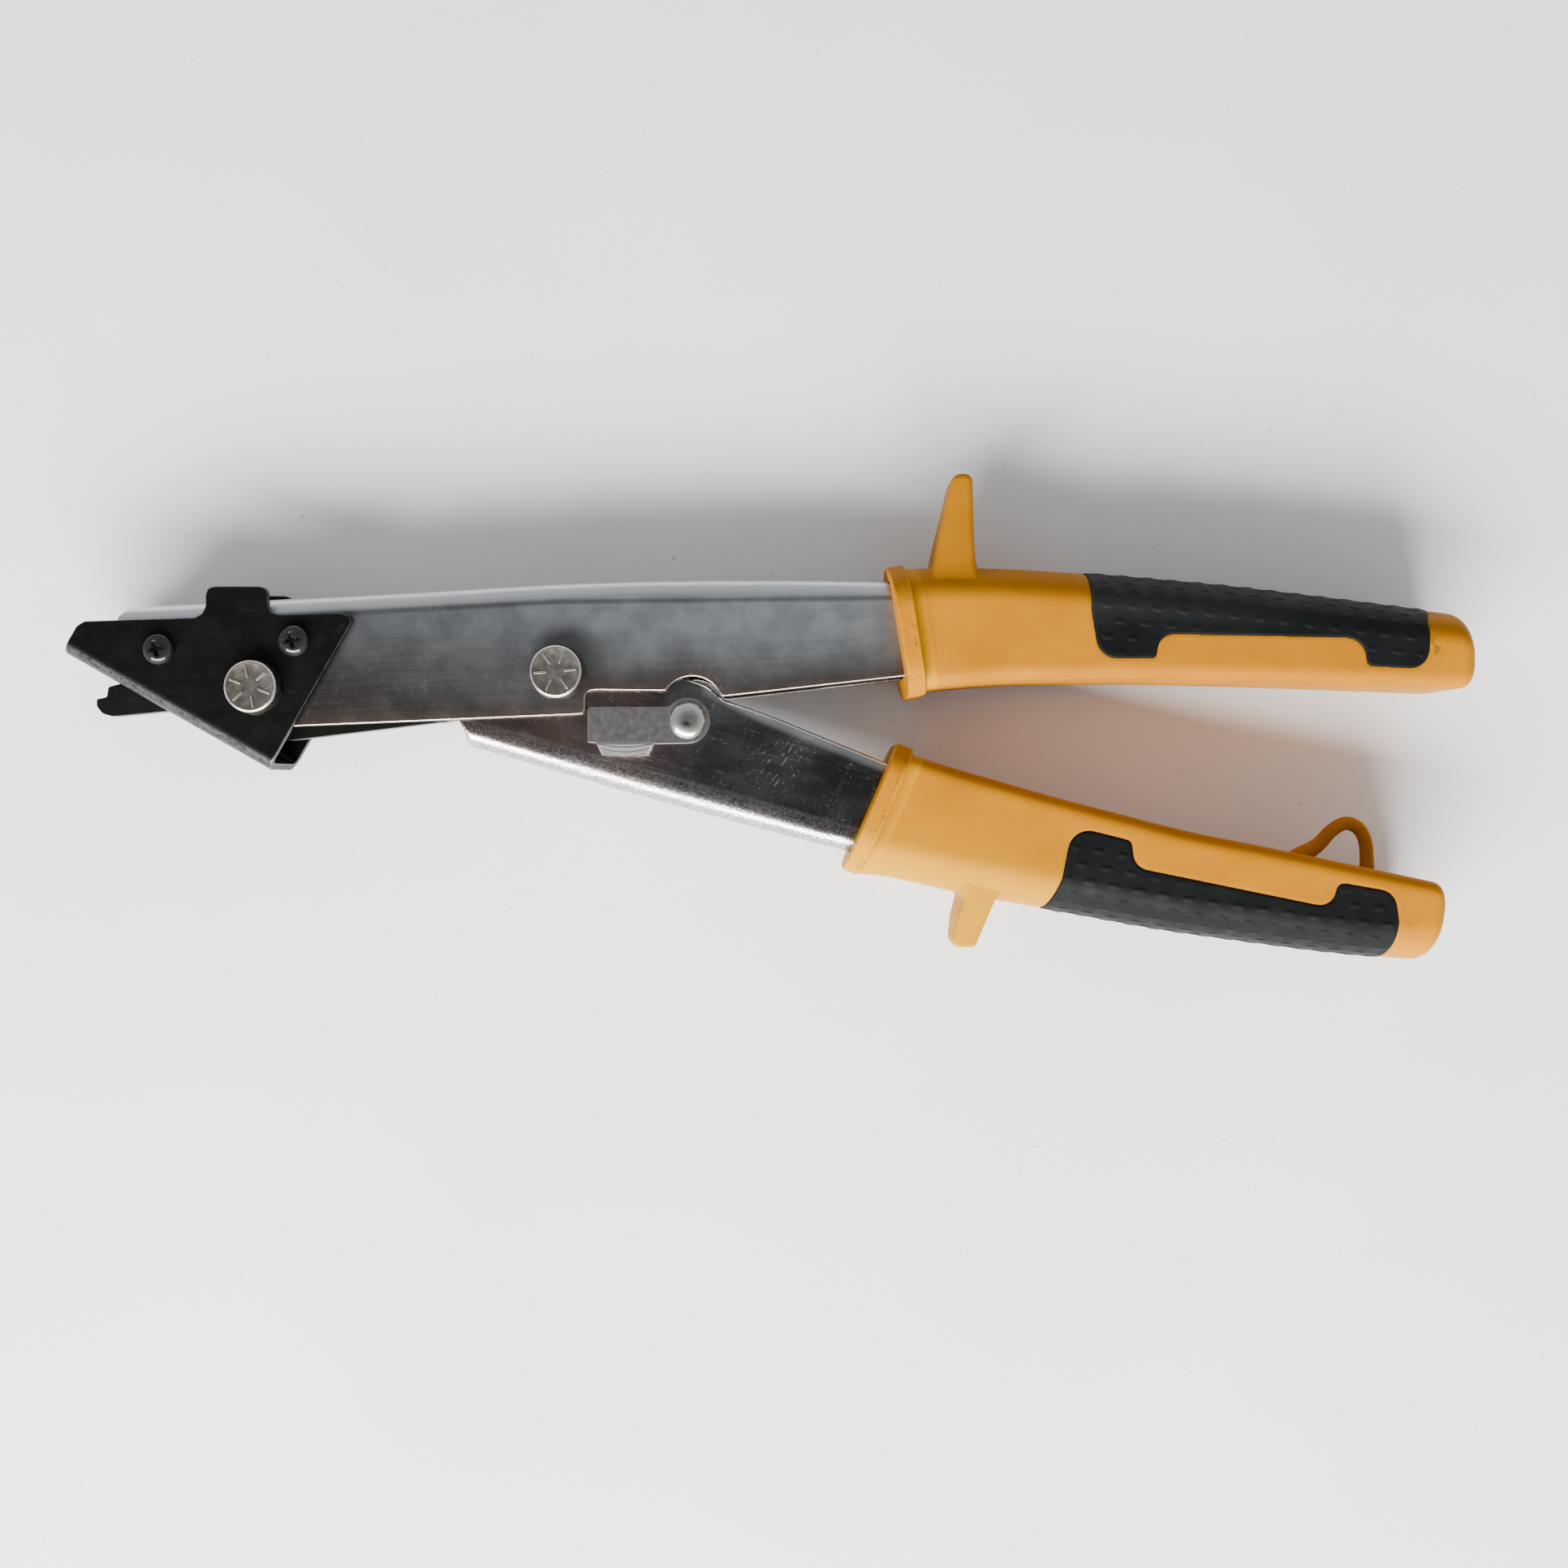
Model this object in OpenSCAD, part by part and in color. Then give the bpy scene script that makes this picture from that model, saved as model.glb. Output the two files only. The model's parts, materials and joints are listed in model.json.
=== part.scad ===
// Hand nibbler for roofing and siding sheet, lying on its side in its locked storage position.
// The jaw points towards -X, the handles towards +X, and the tool rests on the plane z = 0.
// Side-view sizes are taken from the main pivot, and the whole tool is then moved so that the
// origin is under the middle of its box.

/* [Layout] */
// height of the tool's mid-plane above the resting plane
mid_z = 15; // [15:0.1:16]
// distance from the main pivot forwards to the front pivot
front_pivot_x = 60.7; // [60:0.1:61.5]
// drop of the front pivot below the main pivot
front_pivot_drop = 3.1; // [2.6:0.1:3.6]
// distance from the main pivot to the drive pin
drive_reach = 27; // [26:0.1:28]
// height of the drive pin above the main pivot when the tool is locked
drive_rise = 0.5; // [0.2:0.1:0.8]
// distance from the main pivot to the latch rivet along the tool
latch_x = 26.2; // [25.8:0.1:26.6]
// drop of the latch rivet below the main pivot
latch_drop = 9.7; // [9.4:0.1:10]

/* [Body channel] */
// half of the outside width of the folded body
body_half = 7.5; // [7.5:0.1:7.9]
// thickness of the body's steel sheet
body_sheet = 2; // [1.8:0.1:2]
// outside bend radius between the spine and a cheek
body_bend = 4; // [3:0.1:4.5]
// radius of the arch that the latch's round end swings into
arch_r = 6.2; // [6.1:0.05:6.4]

/* [Lever channel] */
// half of the outside width of the folded lever
lever_half = 5.2; // [5:0.05:5.25]
// thickness of the lever's steel sheet
lever_sheet = 1.8; // [1.6:0.1:1.9]
// outside bend radius of the lever's spine
lever_bend = 3.6; // [3:0.1:4]
// downward slope of the lever's spine
lever_slope = 15.6; // [15:0.1:16]

/* [Die shoe] */
// thickness of the die's steel sheet
die_sheet = 1.5; // [1.3:0.1:1.6]
// outside bend radius of the die's fold
die_bend = 3; // [2.5:0.1:3.5]
// slope of the fold line
die_slope = 29.7; // [29:0.1:30.5]
// length of the fold from the front end to the rear edge
fold_length = 47.8; // [47:0.1:48.5]
// width of the slot that the punch cuts through
slot_width = 4; // [3.9:0.05:4.2]

/* [Punch blade] */
// thickness of the punch
blade_thick = 3.5; // [3:0.1:3.6]

/* [Fasteners] */
// hexagon size of both bolts and nuts, across flats
hex_flats = 10.7; // [10:0.1:11.5]
// thickness of the bolt heads
head_height = 3.3; // [3:0.1:4]
// bolt shank radius
shank_r = 3.17; // [3:0.01:3.2]
// outside radius of the two pivot sleeves
sleeve_r = 4.5; // [4.3:0.05:4.7]
// radial running clearance of every moving bore
running_gap = 0.05; // [0.02:0.01:0.09]
// radius of the drive pin
pin_r = 2.5; // [2.3:0.05:2.6]
// radius of the small pan heads
screw_head_r = 3.15; // [3:0.05:3.3]

/* [Latch] */
// thickness of the latch plate
latch_sheet = 1.2; // [1:0.05:1.25]
// radius of the latch's round end
latch_end_r = 4.65; // [4.5:0.05:4.7]

/* [Grips] */
// half thickness of both grips
grip_half = 12.5; // [12:0.1:12.6]
// half thickness of the collars that the tool rests on
collar_half = 15; // [14.5:0.1:15]
// thickness of a collar along its grip
collar_thick = 3; // [2.6:0.1:3.2]
// how far the upper collar stands past its grip's outer side
upper_proud = 0.8; // [0.5:0.1:1.2]
// how far the lower collar stands past its grip's outer side
lower_proud = 0.3; // [0.2:0.1:0.8]
// how far both collars stand past the inner side of their grips
inner_proud = 1.2; // [0.8:0.1:1.5]
// how far back the rounding of a grip's outer side reaches
outer_round = 8; // [7:0.1:9]
// corner radius of a grip's inner side
inner_round = 3; // [2.5:0.1:3.5]
// how far back the rounding of a collar's outer end reaches
collar_outer_round = 10; // [8:0.5:11]
// corner radius of a collar's inner end
collar_inner_round = 7; // [4:0.5:8]
// rounding of a grip's rear end
end_round = 3.4; // [3:0.1:4.5]
// depth of the rubber inlays
inlay_depth = 1.4; // [1.2:0.1:1.6]
// how far the rubber stands proud of the plastic
inlay_proud = 0.2; // [0.1:0.05:0.3]
// thickness of the hanging loop
loop_thick = 2.8; // [2.5:0.1:3]

/* [Spring] */
// wire radius of the opening spring
wire_r = 0.6; // [0.5:0.05:0.65]
// mean radius of the spring's coil
coil_r = 6; // [5.8:0.1:6.3]

/* [Hidden] */
$fn = 64;
// the main pivot's place, which puts the origin under the middle of the whole tool
pivot = [-42.47, 9.01];
front_pivot = [-front_pivot_x, -front_pivot_drop];
drive_pin_at = [-drive_reach, drive_rise];
latch_at = [latch_x, -latch_drop];
hex_r = hex_flats / 2 / cos(30);
eps = 0.01;
big = 60;
seat = 0.03;

// spine of the body in the side view
body_top = [[-89, 13.4], [-57, 15.1], [-31, 16.5], [0, 18.3], [26, 19], [51, 19],
            [67, 18.7], [100, 16.8], [140, 13]];
// spine of the lever, in a frame turned down by its slope
lever_spine = [[-40, -19], [-11, -19.3], [24, -19.65], [67, -19.2], [100, -17.4], [136, -14.2]];
// each grip station: its outer point, then its inner point
upper_stations = [[69.6, 21.6, 73.6, -3.4], [79, 21.9, 81.5, -2.6], [90, 21.7, 91, -1.9],
                  [104, 20.9, 104, -1.6], [120, 19.6, 120, -1.5], [137, 18, 137, -1.9],
                  [154, 16, 153.5, -2.4], [170, 14, 169.4, -3], [184.6, 12.2, 184.3, -3.6]];
lower_stations = [[60.4, -40.9, 70.9, -16.6], [68.5, -42, 78.5, -19], [80, -44.6, 88.5, -21.9],
                  [92, -46.9, 99, -24.9], [106, -49.3, 112, -28.3], [122, -52.2, 127, -32.1],
                  [138, -54.5, 142, -35.1], [154, -56.6, 158, -38.4], [167, -58, 169.6, -40.8],
                  [177, -58.9, 179, -42.8]];

// ---------- curves ----------

function piece_of(k, x, i = 0) = (i >= len(k) - 2 || x < k[i + 1][0]) ? i : piece_of(k, x, i + 1);

function slope_at(k, i) =
    let (a = max(i - 1, 0), b = min(i + 1, len(k) - 1))
    (k[b][1] - k[a][1]) / (k[b][0] - k[a][0]);

// smooth height of a curve through knots [x, y]
function curve(k, x) =
    let (i = piece_of(k, x), h = k[i + 1][0] - k[i][0], t = (x - k[i][0]) / h)
    k[i][1] * (1 + t * t * (2 * t - 3)) + slope_at(k, i) * h * t * (1 - t) * (1 - t)
    + k[i + 1][1] * t * t * (3 - 2 * t) + slope_at(k, i + 1) * h * t * t * (t - 1);

// one coordinate of a list of stations as knots over the station number
function column(stations, c) = [for (i = [0:len(stations) - 1]) [i, stations[i][c]]];

function station(stations, t) = [for (c = [0:3]) curve(column(stations, c), t)];

// ---------- swept shells ----------

// outline of a folded U, spine at depth 0, as matching outer and inner points [depth, z]
function u_side(half, bend, depth, steps) = concat(
    [[depth, half]],
    [for (i = [0:steps]) let (a = 90 * i / steps) [bend - bend * sin(a), half - bend + bend * cos(a)]],
    [for (i = [0:steps]) let (a = 90 - 90 * i / steps)
        [bend - bend * sin(a), -(half - bend + bend * cos(a))]],
    [[depth, -half]]);

function u_inner(half, sheet, bend, depth, steps) =
    let (r = bend - sheet)
    [for (p = u_side(half - sheet, r, depth - sheet, steps)) [p[0] + sheet, p[1]]];

// a folded sheet whose spine follows knots, between two ends; side is -1 when the spine is on top
module folded_sheet(knots, from, to, stations, half, sheet, bend, depth, side) {
    steps = 4;
    outer = u_side(half, bend, depth, steps);
    inner = u_inner(half, sheet, bend, depth, steps);
    n = len(outer);
    xs = [for (j = [0:stations]) from + (to - from) * j / stations];
    points = [for (x = xs) for (p = concat(outer, inner)) [x, curve(knots, x) + side * p[0], mid_z + p[1]]];
    m = 2 * n;
    skin = [for (j = [0:stations - 1]) for (i = [0:n - 2])
        for (f = [[j * m + i, j * m + i + 1, (j + 1) * m + i + 1],
                  [j * m + i, (j + 1) * m + i + 1, (j + 1) * m + i],
                  [j * m + n + i, (j + 1) * m + n + i + 1, j * m + n + i + 1],
                  [j * m + n + i, (j + 1) * m + n + i, (j + 1) * m + n + i + 1]]) f];
    edges = [for (j = [0:stations - 1])
        for (f = [[j * m, (j + 1) * m, (j + 1) * m + n],
                  [j * m, (j + 1) * m + n, j * m + n],
                  [j * m + n - 1, (j + 1) * m + 2 * n - 1, (j + 1) * m + n - 1],
                  [j * m + n - 1, j * m + 2 * n - 1, (j + 1) * m + 2 * n - 1]]) f];
    caps = [for (i = [0:n - 2])
        for (f = [[i, n + i + 1, i + 1], [i, n + i, n + i + 1],
                  [stations * m + i, stations * m + i + 1, stations * m + n + i + 1],
                  [stations * m + i, stations * m + n + i + 1, stations * m + n + i]]) f];
    faces = concat(skin, edges, caps);
    polyhedron(points, side < 0 ? faces : [for (f = faces) [f[0], f[2], f[1]]]);
}

// half outline of a grip section: distance from the outer side, and half thickness
function grip_ring(height, half, outer = outer_round, inner = inner_round, steps = 7) = concat(
    [for (i = [0:steps]) let (a = 90 * i / steps) [outer * (1 - cos(a)), half * sin(a)]],
    [for (i = [0:4]) let (a = 90 * i / 4)
        [height - inner + inner * sin(a), half - inner + inner * cos(a)]],
    [for (i = [0:4]) let (a = 90 * i / 4)
        [height - inner + inner * cos(a), -(half - inner + inner * sin(a))]],
    [for (i = [0:steps - 1]) let (a = 90 - 90 * i / steps) [outer * (1 - cos(a)), -half * sin(a)]]);

// how far a section pulls in near the rounded rear end
function end_pull(gap) = gap >= end_round ? 0 : end_round - sqrt(end_round * end_round - pow(end_round - gap, 2));

// points of one grip section at station t, pulled in by inset
function grip_section(stations, t, inset) =
    let (s = station(stations, t), o = [s[0], s[1]], q = [s[2], s[3]], height = norm(q - o),
         dir = (q - o) / height)
    [for (p = grip_ring(height - 2 * inset, grip_half - inset))
        [o[0] + dir[0] * (p[0] + inset), o[1] + dir[1] * (p[0] + inset), mid_z + p[1]]];

// stations along the grip, closer together where the rear end rounds off
function grip_steps(stations, inset) =
    let (last = len(stations) - 1, gap = norm([stations[last][0] - stations[last - 1][0],
                                              stations[last][1] - stations[last - 1][1]]))
    concat([for (i = [0:2 * last - 2]) [i / 2, 0]],
           [for (a = [0:18:90]) let (d = end_round * (1 - sin(a)) + inset * sin(a))
               [last - d / gap, end_pull(d - inset)]]);

// the whole grip body from its collar to its rounded rear end
module grip_solid(stations, inset, flip) {
    rings = [for (s = grip_steps(stations, inset)) grip_section(stations, s[0], inset + s[1])];
    n = len(rings[0]);
    count = len(rings);
    points = [for (r = rings) for (p = r) p];
    sides = [for (j = [0:count - 2]) for (i = [0:n - 1]) let (k = (i + 1) % n)
        for (f = [[j * n + i, (j + 1) * n + k, j * n + k], [j * n + i, (j + 1) * n + i, (j + 1) * n + k]]) f];
    ends = [for (i = [1:n - 2])
        for (f = [[0, i, i + 1], [(count - 1) * n, (count - 1) * n + i + 1, (count - 1) * n + i]]) f];
    faces = concat(sides, ends);
    polyhedron(points, flip ? [for (f = faces) [f[0], f[2], f[1]]] : faces);
}

// a round wire along a path of points that never runs straight up
module wire(path, r, sides = 10) {
    n = len(path);
    dirs = [for (i = [0:n - 1]) let (d = path[min(i + 1, n - 1)] - path[max(i - 1, 0)]) d / norm(d)];
    across = [for (d = dirs) let (c = cross([0, 0, 1], d)) c / norm(c)];
    up = [for (i = [0:n - 1]) cross(dirs[i], across[i])];
    points = [for (i = [0:n - 1]) for (k = [0:sides - 1]) let (a = 360 * k / sides)
        path[i] + r * (across[i] * cos(a) + up[i] * sin(a))];
    skin = [for (i = [0:n - 2]) for (k = [0:sides - 1]) let (l = (k + 1) % sides)
        for (f = [[i * sides + k, (i + 1) * sides + l, i * sides + l],
                  [i * sides + k, (i + 1) * sides + k, (i + 1) * sides + l]]) f];
    ends = [for (k = [1:sides - 2])
        for (f = [[0, k, k + 1], [(n - 1) * sides, (n - 1) * sides + k + 1, (n - 1) * sides + k]]) f];
    polyhedron(points, concat(skin, ends));
}

// ---------- small shapes ----------

module at(p, z = 0) translate([p[0], p[1], z]) children();

module plate(z0, z1) translate([0, 0, z0]) linear_extrude(z1 - z0) children();

module ring(outer, inner, height) difference() {
    cylinder(r = outer, h = height);
    translate([0, 0, -eps]) cylinder(r = inner, h = height + 2 * eps);
}

// rounds every corner of a 2D outline
module soft_corners(r) offset(r = r, $fn = 20) offset(r = -2 * r, $fn = 20) offset(r = r, $fn = 20) children();

// bolt with a chamfered hexagon head that carries six raised strength marks
module hex_bolt(z_seat, z_tip, turn) {
    corner_left = 0.3;
    tip_chamfer = 0.6;
    mark_half = 0.25;
    mark_in = 1.6;
    mark_out = 4.3;
    translate([0, 0, z_seat]) rotate(turn) {
        intersection() {
            cylinder(r = hex_r, h = head_height, $fn = 6);
            cylinder(r1 = hex_flats / 2 + corner_left, r2 = hex_flats / 2 - 0.1, h = head_height);
        }
        for (i = [0:5]) rotate(60 * i + 30)
            translate([mark_in, -mark_half, head_height - eps])
                cube([mark_out - mark_in, 2 * mark_half, 0.25]);
    }
    translate([0, 0, z_tip + tip_chamfer])
        cylinder(r = shank_r, h = z_seat - z_tip - tip_chamfer + eps);
    translate([0, 0, z_tip]) cylinder(r1 = shank_r - tip_chamfer, r2 = shank_r, h = tip_chamfer + eps);
}

module hex_nut(z_top, height) translate([0, 0, z_top - height]) difference() {
    intersection() {
        cylinder(r = hex_r, h = height, $fn = 6);
        cylinder(r1 = hex_flats / 2 - 0.1, r2 = hex_flats / 2 + height, h = height);
    }
    translate([0, 0, -eps]) cylinder(r = shank_r + seat, h = height + 2 * eps);
}

// ---------- body ----------

// outline of everything that is cut away below and in front of the body's cheeks
module body_cut() {
    arch_at = [27.2, -7];
    polygon([[-100, 30], [-100, -big], [160, -big], [160, 1.6], [140, 1.5], [100, 0.8], [70.2, -0.8],
             [33.2, -5], [33, -5.1], [22.5, -5.1], [22.2, -3.8], [7.6, -3.6], [6.2, -3.8], [5.55, -4.6],
             [5.55, -7.9], [5, -8.5], [-64, -11.4], [-88.2, 2.4], [-89.6, 10.6], [-87.4, 13.2], [-87.4, 30]]);
    at(arch_at) circle(r = arch_r);
}

module body_channel() color("silver") difference() {
    folded_sheet(body_top, -89, 138, 22, body_half, body_sheet, body_bend, 36, -1);
    plate(mid_z - 10, mid_z + 10) body_cut();
    cylinder(r = shank_r + seat, h = 2 * mid_z);
    at(front_pivot) cylinder(r = shank_r + seat, h = 2 * mid_z);
    for (p = screw_places()) at(p) cylinder(r = screw_shank_r + 0.05, h = 2 * mid_z);
}

screw_shank_r = 1.9;

function screw_places() = [[-79.9, 4.5], [-52.7, 6.2]];

// ---------- die ----------

// places the fold: local X runs down the fold line, local Y into the die
module on_fold() translate([-99.6, 3.9]) rotate(-die_slope) children();

module die_outline() {
    polygon([[-99.7, 3.8], [-96.9, 9], [-95, 10.2], [-72.8, 10.9], [-71.3, 11.7], [-70.6, 13.2], [-70.6, 15.6],
             [-70.1, 16.8], [-69, 17.2], [-59.6, 17.2], [-58.5, 16.8], [-58, 15.6], [-58, 13.4],
             [-57.3, 12], [-55.8, 11.5], [-43.6, 11.9], [-41.6, 11.3], [-41.1, 10.1], [-58, -19.4],
             [-59, -22], [-99, -22], [-103, -2]]);
}

module u_outline(half, sheet, bend, depth) {
    module solid_u(h, r, from) {
        translate([from + r, -h]) square([depth - from - r, 2 * h]);
        translate([from, -(h - r)]) square([r + eps, 2 * (h - r)]);
        for (s = [-1, 1]) translate([from + r, s * (h - r)]) circle(r = r);
    }
    difference() {
        solid_u(half, bend, 0);
        translate([0.2 * eps, 0]) solid_u(half - sheet, bend - sheet, sheet);
        translate([depth - eps, -half + sheet]) square([1, 2 * (half - sheet)]);
    }
}

module die_shoe() color("dimgray") difference() {
    intersection() {
        on_fold() translate([0, 0, mid_z]) rotate([0, 90, 0]) rotate([0, 0, 90])
            linear_extrude(fold_length) u_outline(body_half + die_sheet, die_sheet, die_bend, 40);
        plate(0, 2 * mid_z) die_outline();
    }
    on_fold() translate([5, -5, mid_z - slot_width / 2]) cube([28, 9, slot_width]);
    at(front_pivot) cylinder(r = shank_r + seat, h = 2 * mid_z);
    for (p = screw_places()) at(p) cylinder(r = screw_shank_r + 0.05, h = 2 * mid_z);
}

// pan-head screw with a cross recess, standing on z = 0
module pan_screw() {
    head = 2.1;
    rim = 0.9;
    recess = [3.4, 0.7, 2];
    recess_depth = 1.2;
    sheets = die_sheet + body_sheet;
    difference() {
        union() {
            cylinder(r = screw_head_r, h = rim);
            translate([0, 0, rim - eps]) cylinder(r1 = screw_head_r, r2 = screw_head_r - rim, h = head - rim);
        }
        for (a = [0, 90]) rotate(a)
            translate([-recess[0] / 2, -recess[1] / 2, head - recess_depth]) cube(recess);
    }
    translate([0, 0, -sheets]) cylinder(r = screw_shank_r, h = sheets + eps);
}

module die_screws() color("black") for (p = screw_places(), s = [0, 1])
    at(p, mid_z) mirror([0, 0, s]) translate([0, 0, body_half + die_sheet]) rotate(12) pan_screw();

// ---------- pivots ----------

module front_bolt() color("tan") at(front_pivot)
    hex_bolt(mid_z + body_half + die_sheet, 0, 3);

front_nut_height = 4.8;
pivot_nut_height = 5.5;

module front_nut() color("tan") at(front_pivot)
    hex_nut(mid_z - body_half - die_sheet, front_nut_height);

module blade_sleeve() color("gray") at(front_pivot, mid_z - body_half + body_sheet)
    ring(sleeve_r, shank_r + seat, 2 * (body_half - body_sheet));

module blade_spacers() color("gray") {
    inner_half = body_half - body_sheet;
    blade_play = 0.1;
    spacer_r = 7;
    height = inner_half - blade_thick / 2 - blade_play;
    for (z = [mid_z - inner_half, mid_z + inner_half - height])
        at(front_pivot, z) ring(spacer_r, sleeve_r + 0.02, height);
}

module pivot_bolt() color("tan") hex_bolt(mid_z + body_half, 1, 35);

module pivot_nut() color("tan") rotate(10) hex_nut(mid_z - body_half, pivot_nut_height);

module pivot_sleeve() color("gray") translate([0, 0, mid_z - body_half + body_sheet])
    ring(sleeve_r, shank_r + seat, 2 * (body_half - body_sheet));

// ---------- punch ----------

module blade_outline() {
    polygon([[-95.6, -5.1], [-93.5, -4.7], [-93.2, -2.6], [-91, -2], [-78, 1.6], [-70, 4.6],
             [-60, 6.2], [-48, 6], [-26, 5.2], [-21.5, 4], [-20, 1.5], [-20, -9.3],
             [-55.6, -13.6], [-61, -13.4], [-66, -11.6], [-71, -8.6], [-80, -7.5], [-92.4, -8.7],
             [-94.4, -8.1], [-95.6, -6.6]]);
}

module punch_blade() color("#222222") {
    slot_half = pin_r + 0.1;
    slot_play = 0.6;
    turn = atan2(drive_pin_at[1] - front_pivot[1], drive_pin_at[0] - front_pivot[0]);
    difference() {
        plate(mid_z - blade_thick / 2, mid_z + blade_thick / 2) blade_outline();
        at(front_pivot) cylinder(r = sleeve_r + running_gap, h = 2 * mid_z);
        at(drive_pin_at) rotate(turn) {
            for (s = [-1, 1]) translate([s * slot_play, 0]) cylinder(r = slot_half, h = 2 * mid_z);
            translate([-slot_play, -slot_half]) cube([2 * slot_play, 2 * slot_half, 2 * mid_z]);
        }
    }
}

// ---------- lever ----------

module lever_outline() {
    polygon([[-32, -1.5], [-31.5, 3.2], [-28.8, 5.6], [-25.5, 5.6], [-8, 8.6], [0, 9.4], [8, 8.2],
             [20, 2.4], [25.8, -0.9], [30, -2.4], [32, -4], [34, -5.6], [38.2, -7], [43.1, -8.7],
             [66.2, -18.1], [100, -29], [127, -36.8], [120, -60], [40, -50], [-17.5, -22],
             [-18.9, -15.2], [-19.1, -12.2], [-20.6, -9.6], [-24, -4.6], [-30, -4.2]]);
}

module lever_channel() color("silver") difference() {
    intersection() {
        rotate(-lever_slope)
            folded_sheet(lever_spine, -40, 134, 16, lever_half, lever_sheet, lever_bend, 36, 1);
        plate(0, 2 * mid_z) lever_outline();
    }
    cylinder(r = sleeve_r + running_gap, h = 2 * mid_z);
    at(drive_pin_at) cylinder(r = pin_r + 0.02, h = 2 * mid_z);
    at(latch_at, mid_z) cylinder(r = 1.92, h = mid_z);
}

module drive_pin() color("gray") at(drive_pin_at, mid_z - lever_half + 0.1)
    cylinder(r = pin_r, h = 2 * lever_half - 0.2);

module drive_washers() color("gray") {
    height = lever_half - lever_sheet - blade_thick / 2 - 0.3;
    for (z = [mid_z - blade_thick / 2 - 0.2 - height, mid_z + blade_thick / 2 + 0.2])
        at(drive_pin_at, z) ring(4.4, pin_r + 0.02, height);
}

// ---------- spring ----------

module opening_spring() color("lightgray") {
    turns = 3;
    rise = 1.45;
    start = 250;
    sweep = 360 * turns + 175;
    low = mid_z - rise * (turns + 0.5) / 2;
    steps = 54;
    coil = [for (i = [0:steps]) let (a = start + sweep * i / steps)
        [coil_r * cos(a), coil_r * sin(a), low + rise * sweep / 360 * i / steps]];
    lever_leg = [[24, -21.6, low], [14, -15.6, low], [4, -9.4, low]];
    body_leg = [[9, 9.6, coil[steps][2]], [17, 13.6, coil[steps][2]], [25, 16.2, coil[steps][2]]];
    wire(concat(lever_leg, coil, body_leg), wire_r, 8);
}

// ---------- latch ----------

latch_low = mid_z + lever_half + 0.06;

module latch_plate() color("gainsboro") difference() {
    union() {
        plate(latch_low, latch_low + latch_sheet) {
            polygon([[5.9, -7.3], [6.4, -6.9], [22.4, -6.9], [25, -14.2], [19.6, -14.6], [7.8, -14.6],
                     [7.2, -14.2], [5.9, -14.2]]);
            at(latch_at) circle(r = latch_end_r);
        }
        thumb_tab();
    }
    at(latch_at) cylinder(r = 1.9 + running_gap, h = 2 * mid_z);
}

// lip bent outwards and down, with shallow grooves for the thumb
module thumb_tab() {
    profile = [[-14.1, 0], [-14.1, latch_sheet], [-14.7, latch_sheet + 0.3], [-15.1, latch_sheet + 1],
               [-15.7, latch_sheet + 1.3], [-16, latch_sheet + 1.9], [-16.6, latch_sheet + 2.2],
               [-16.9, latch_sheet + 2.7], [-17.3, latch_sheet + 2.3], [-16.7, latch_sheet + 1.2],
               [-15.9, 0.9], [-15.2, 0.2], [-14.6, 0]];
    intersection() {
        translate([7.6, 0, latch_low]) rotate([90, 0, 90]) linear_extrude(12) polygon(profile);
        plate(mid_z, 2 * mid_z) polygon([[7.6, -14], [19.6, -14], [19.5, -15], [18, -18], [9.2, -18], [7.7, -15]]);
    }
}

module latch_rivet() color("white") at(latch_at) {
    top = latch_low + latch_sheet + 0.06;
    difference() {
        intersection() {
            translate([0, 0, top]) cylinder(r = 3.7, h = 2.3);
            translate([0, 0, top - 2.2]) sphere(r = 4.4);
        }
        translate([0, 0, top + 4.05]) sphere(r = 2.4);
    }
    translate([0, 0, mid_z + 1.9]) cylinder(r = 1.9, h = top - mid_z - 1.8);
    translate([0, 0, mid_z + 1.9]) cylinder(r = 3, h = lever_half - lever_sheet - 1.93);
}

// ---------- grips ----------

// slab in front of a grip's first station; flip is true where the outer side faces down
module collar(stations, outer_proud, flip) {
    s = stations[0];
    o = [s[0], s[1]];
    q = [s[2], s[3]];
    dir = (q - o) / norm(q - o);
    side = flip ? -1 : 1;
    top = o - dir * outer_proud;
    height = norm(q - o) + outer_proud + inner_proud;
    collar_overlap = 0.25;
    multmatrix([[dir[0], 0, side * dir[1], top[0]], [dir[1], 0, -side * dir[0], top[1]],
                [0, side, 0, mid_z]])
        translate([0, 0, -collar_overlap]) linear_extrude(collar_thick + collar_overlap)
            polygon(grip_ring(height, collar_half, collar_outer_round, collar_inner_round));
}

// room for the body's tang inside the upper grip
module upper_pocket() plate(mid_z - body_half - seat, mid_z + body_half + seat)
    polygon(concat([for (x = [50:4:138]) [x, curve(body_top, x) + seat]],
                   [[138.6, 13.4], [138.6, 1.4], [100, 0.75], [70.2, -0.85], [50, -3.3]]));

// room for the lever's tang inside the lower grip
module lower_pocket() plate(mid_z - lever_half - seat, mid_z + lever_half + seat) intersection() {
    rotate(-lever_slope) polygon(concat(
        [for (x = [46:4:134]) [x, curve(lever_spine, x) - seat]],
        [[134.6, -14.2], [134.6, 20], [46, 20]]));
    polygon([[40, -7.4], [66.2, -18.05], [100, -28.95], [128, -37], [140, -60], [40, -60]]);
}

module upper_inlay_region() soft_corners(2.4)
    polygon([[107.4, 40], [106.9, 12], [108.6, 2.5], [119.9, 2.5], [120.4, 7.2], [161, 6.6],
             [161.6, 1], [173.6, 0.4], [174.6, 10], [177.6, 14], [178, 40]]);

module lower_inlay_region() soft_corners(2.4)
    polygon([[90, -70], [97.6, -50], [101.2, -41.5], [103.4, -30.8], [115.2, -34.2], [115.6, -39],
             [154.6, -47.2], [155.2, -42.2], [167, -44], [168.2, -50], [167.4, -58], [170, -70]]);

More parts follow.
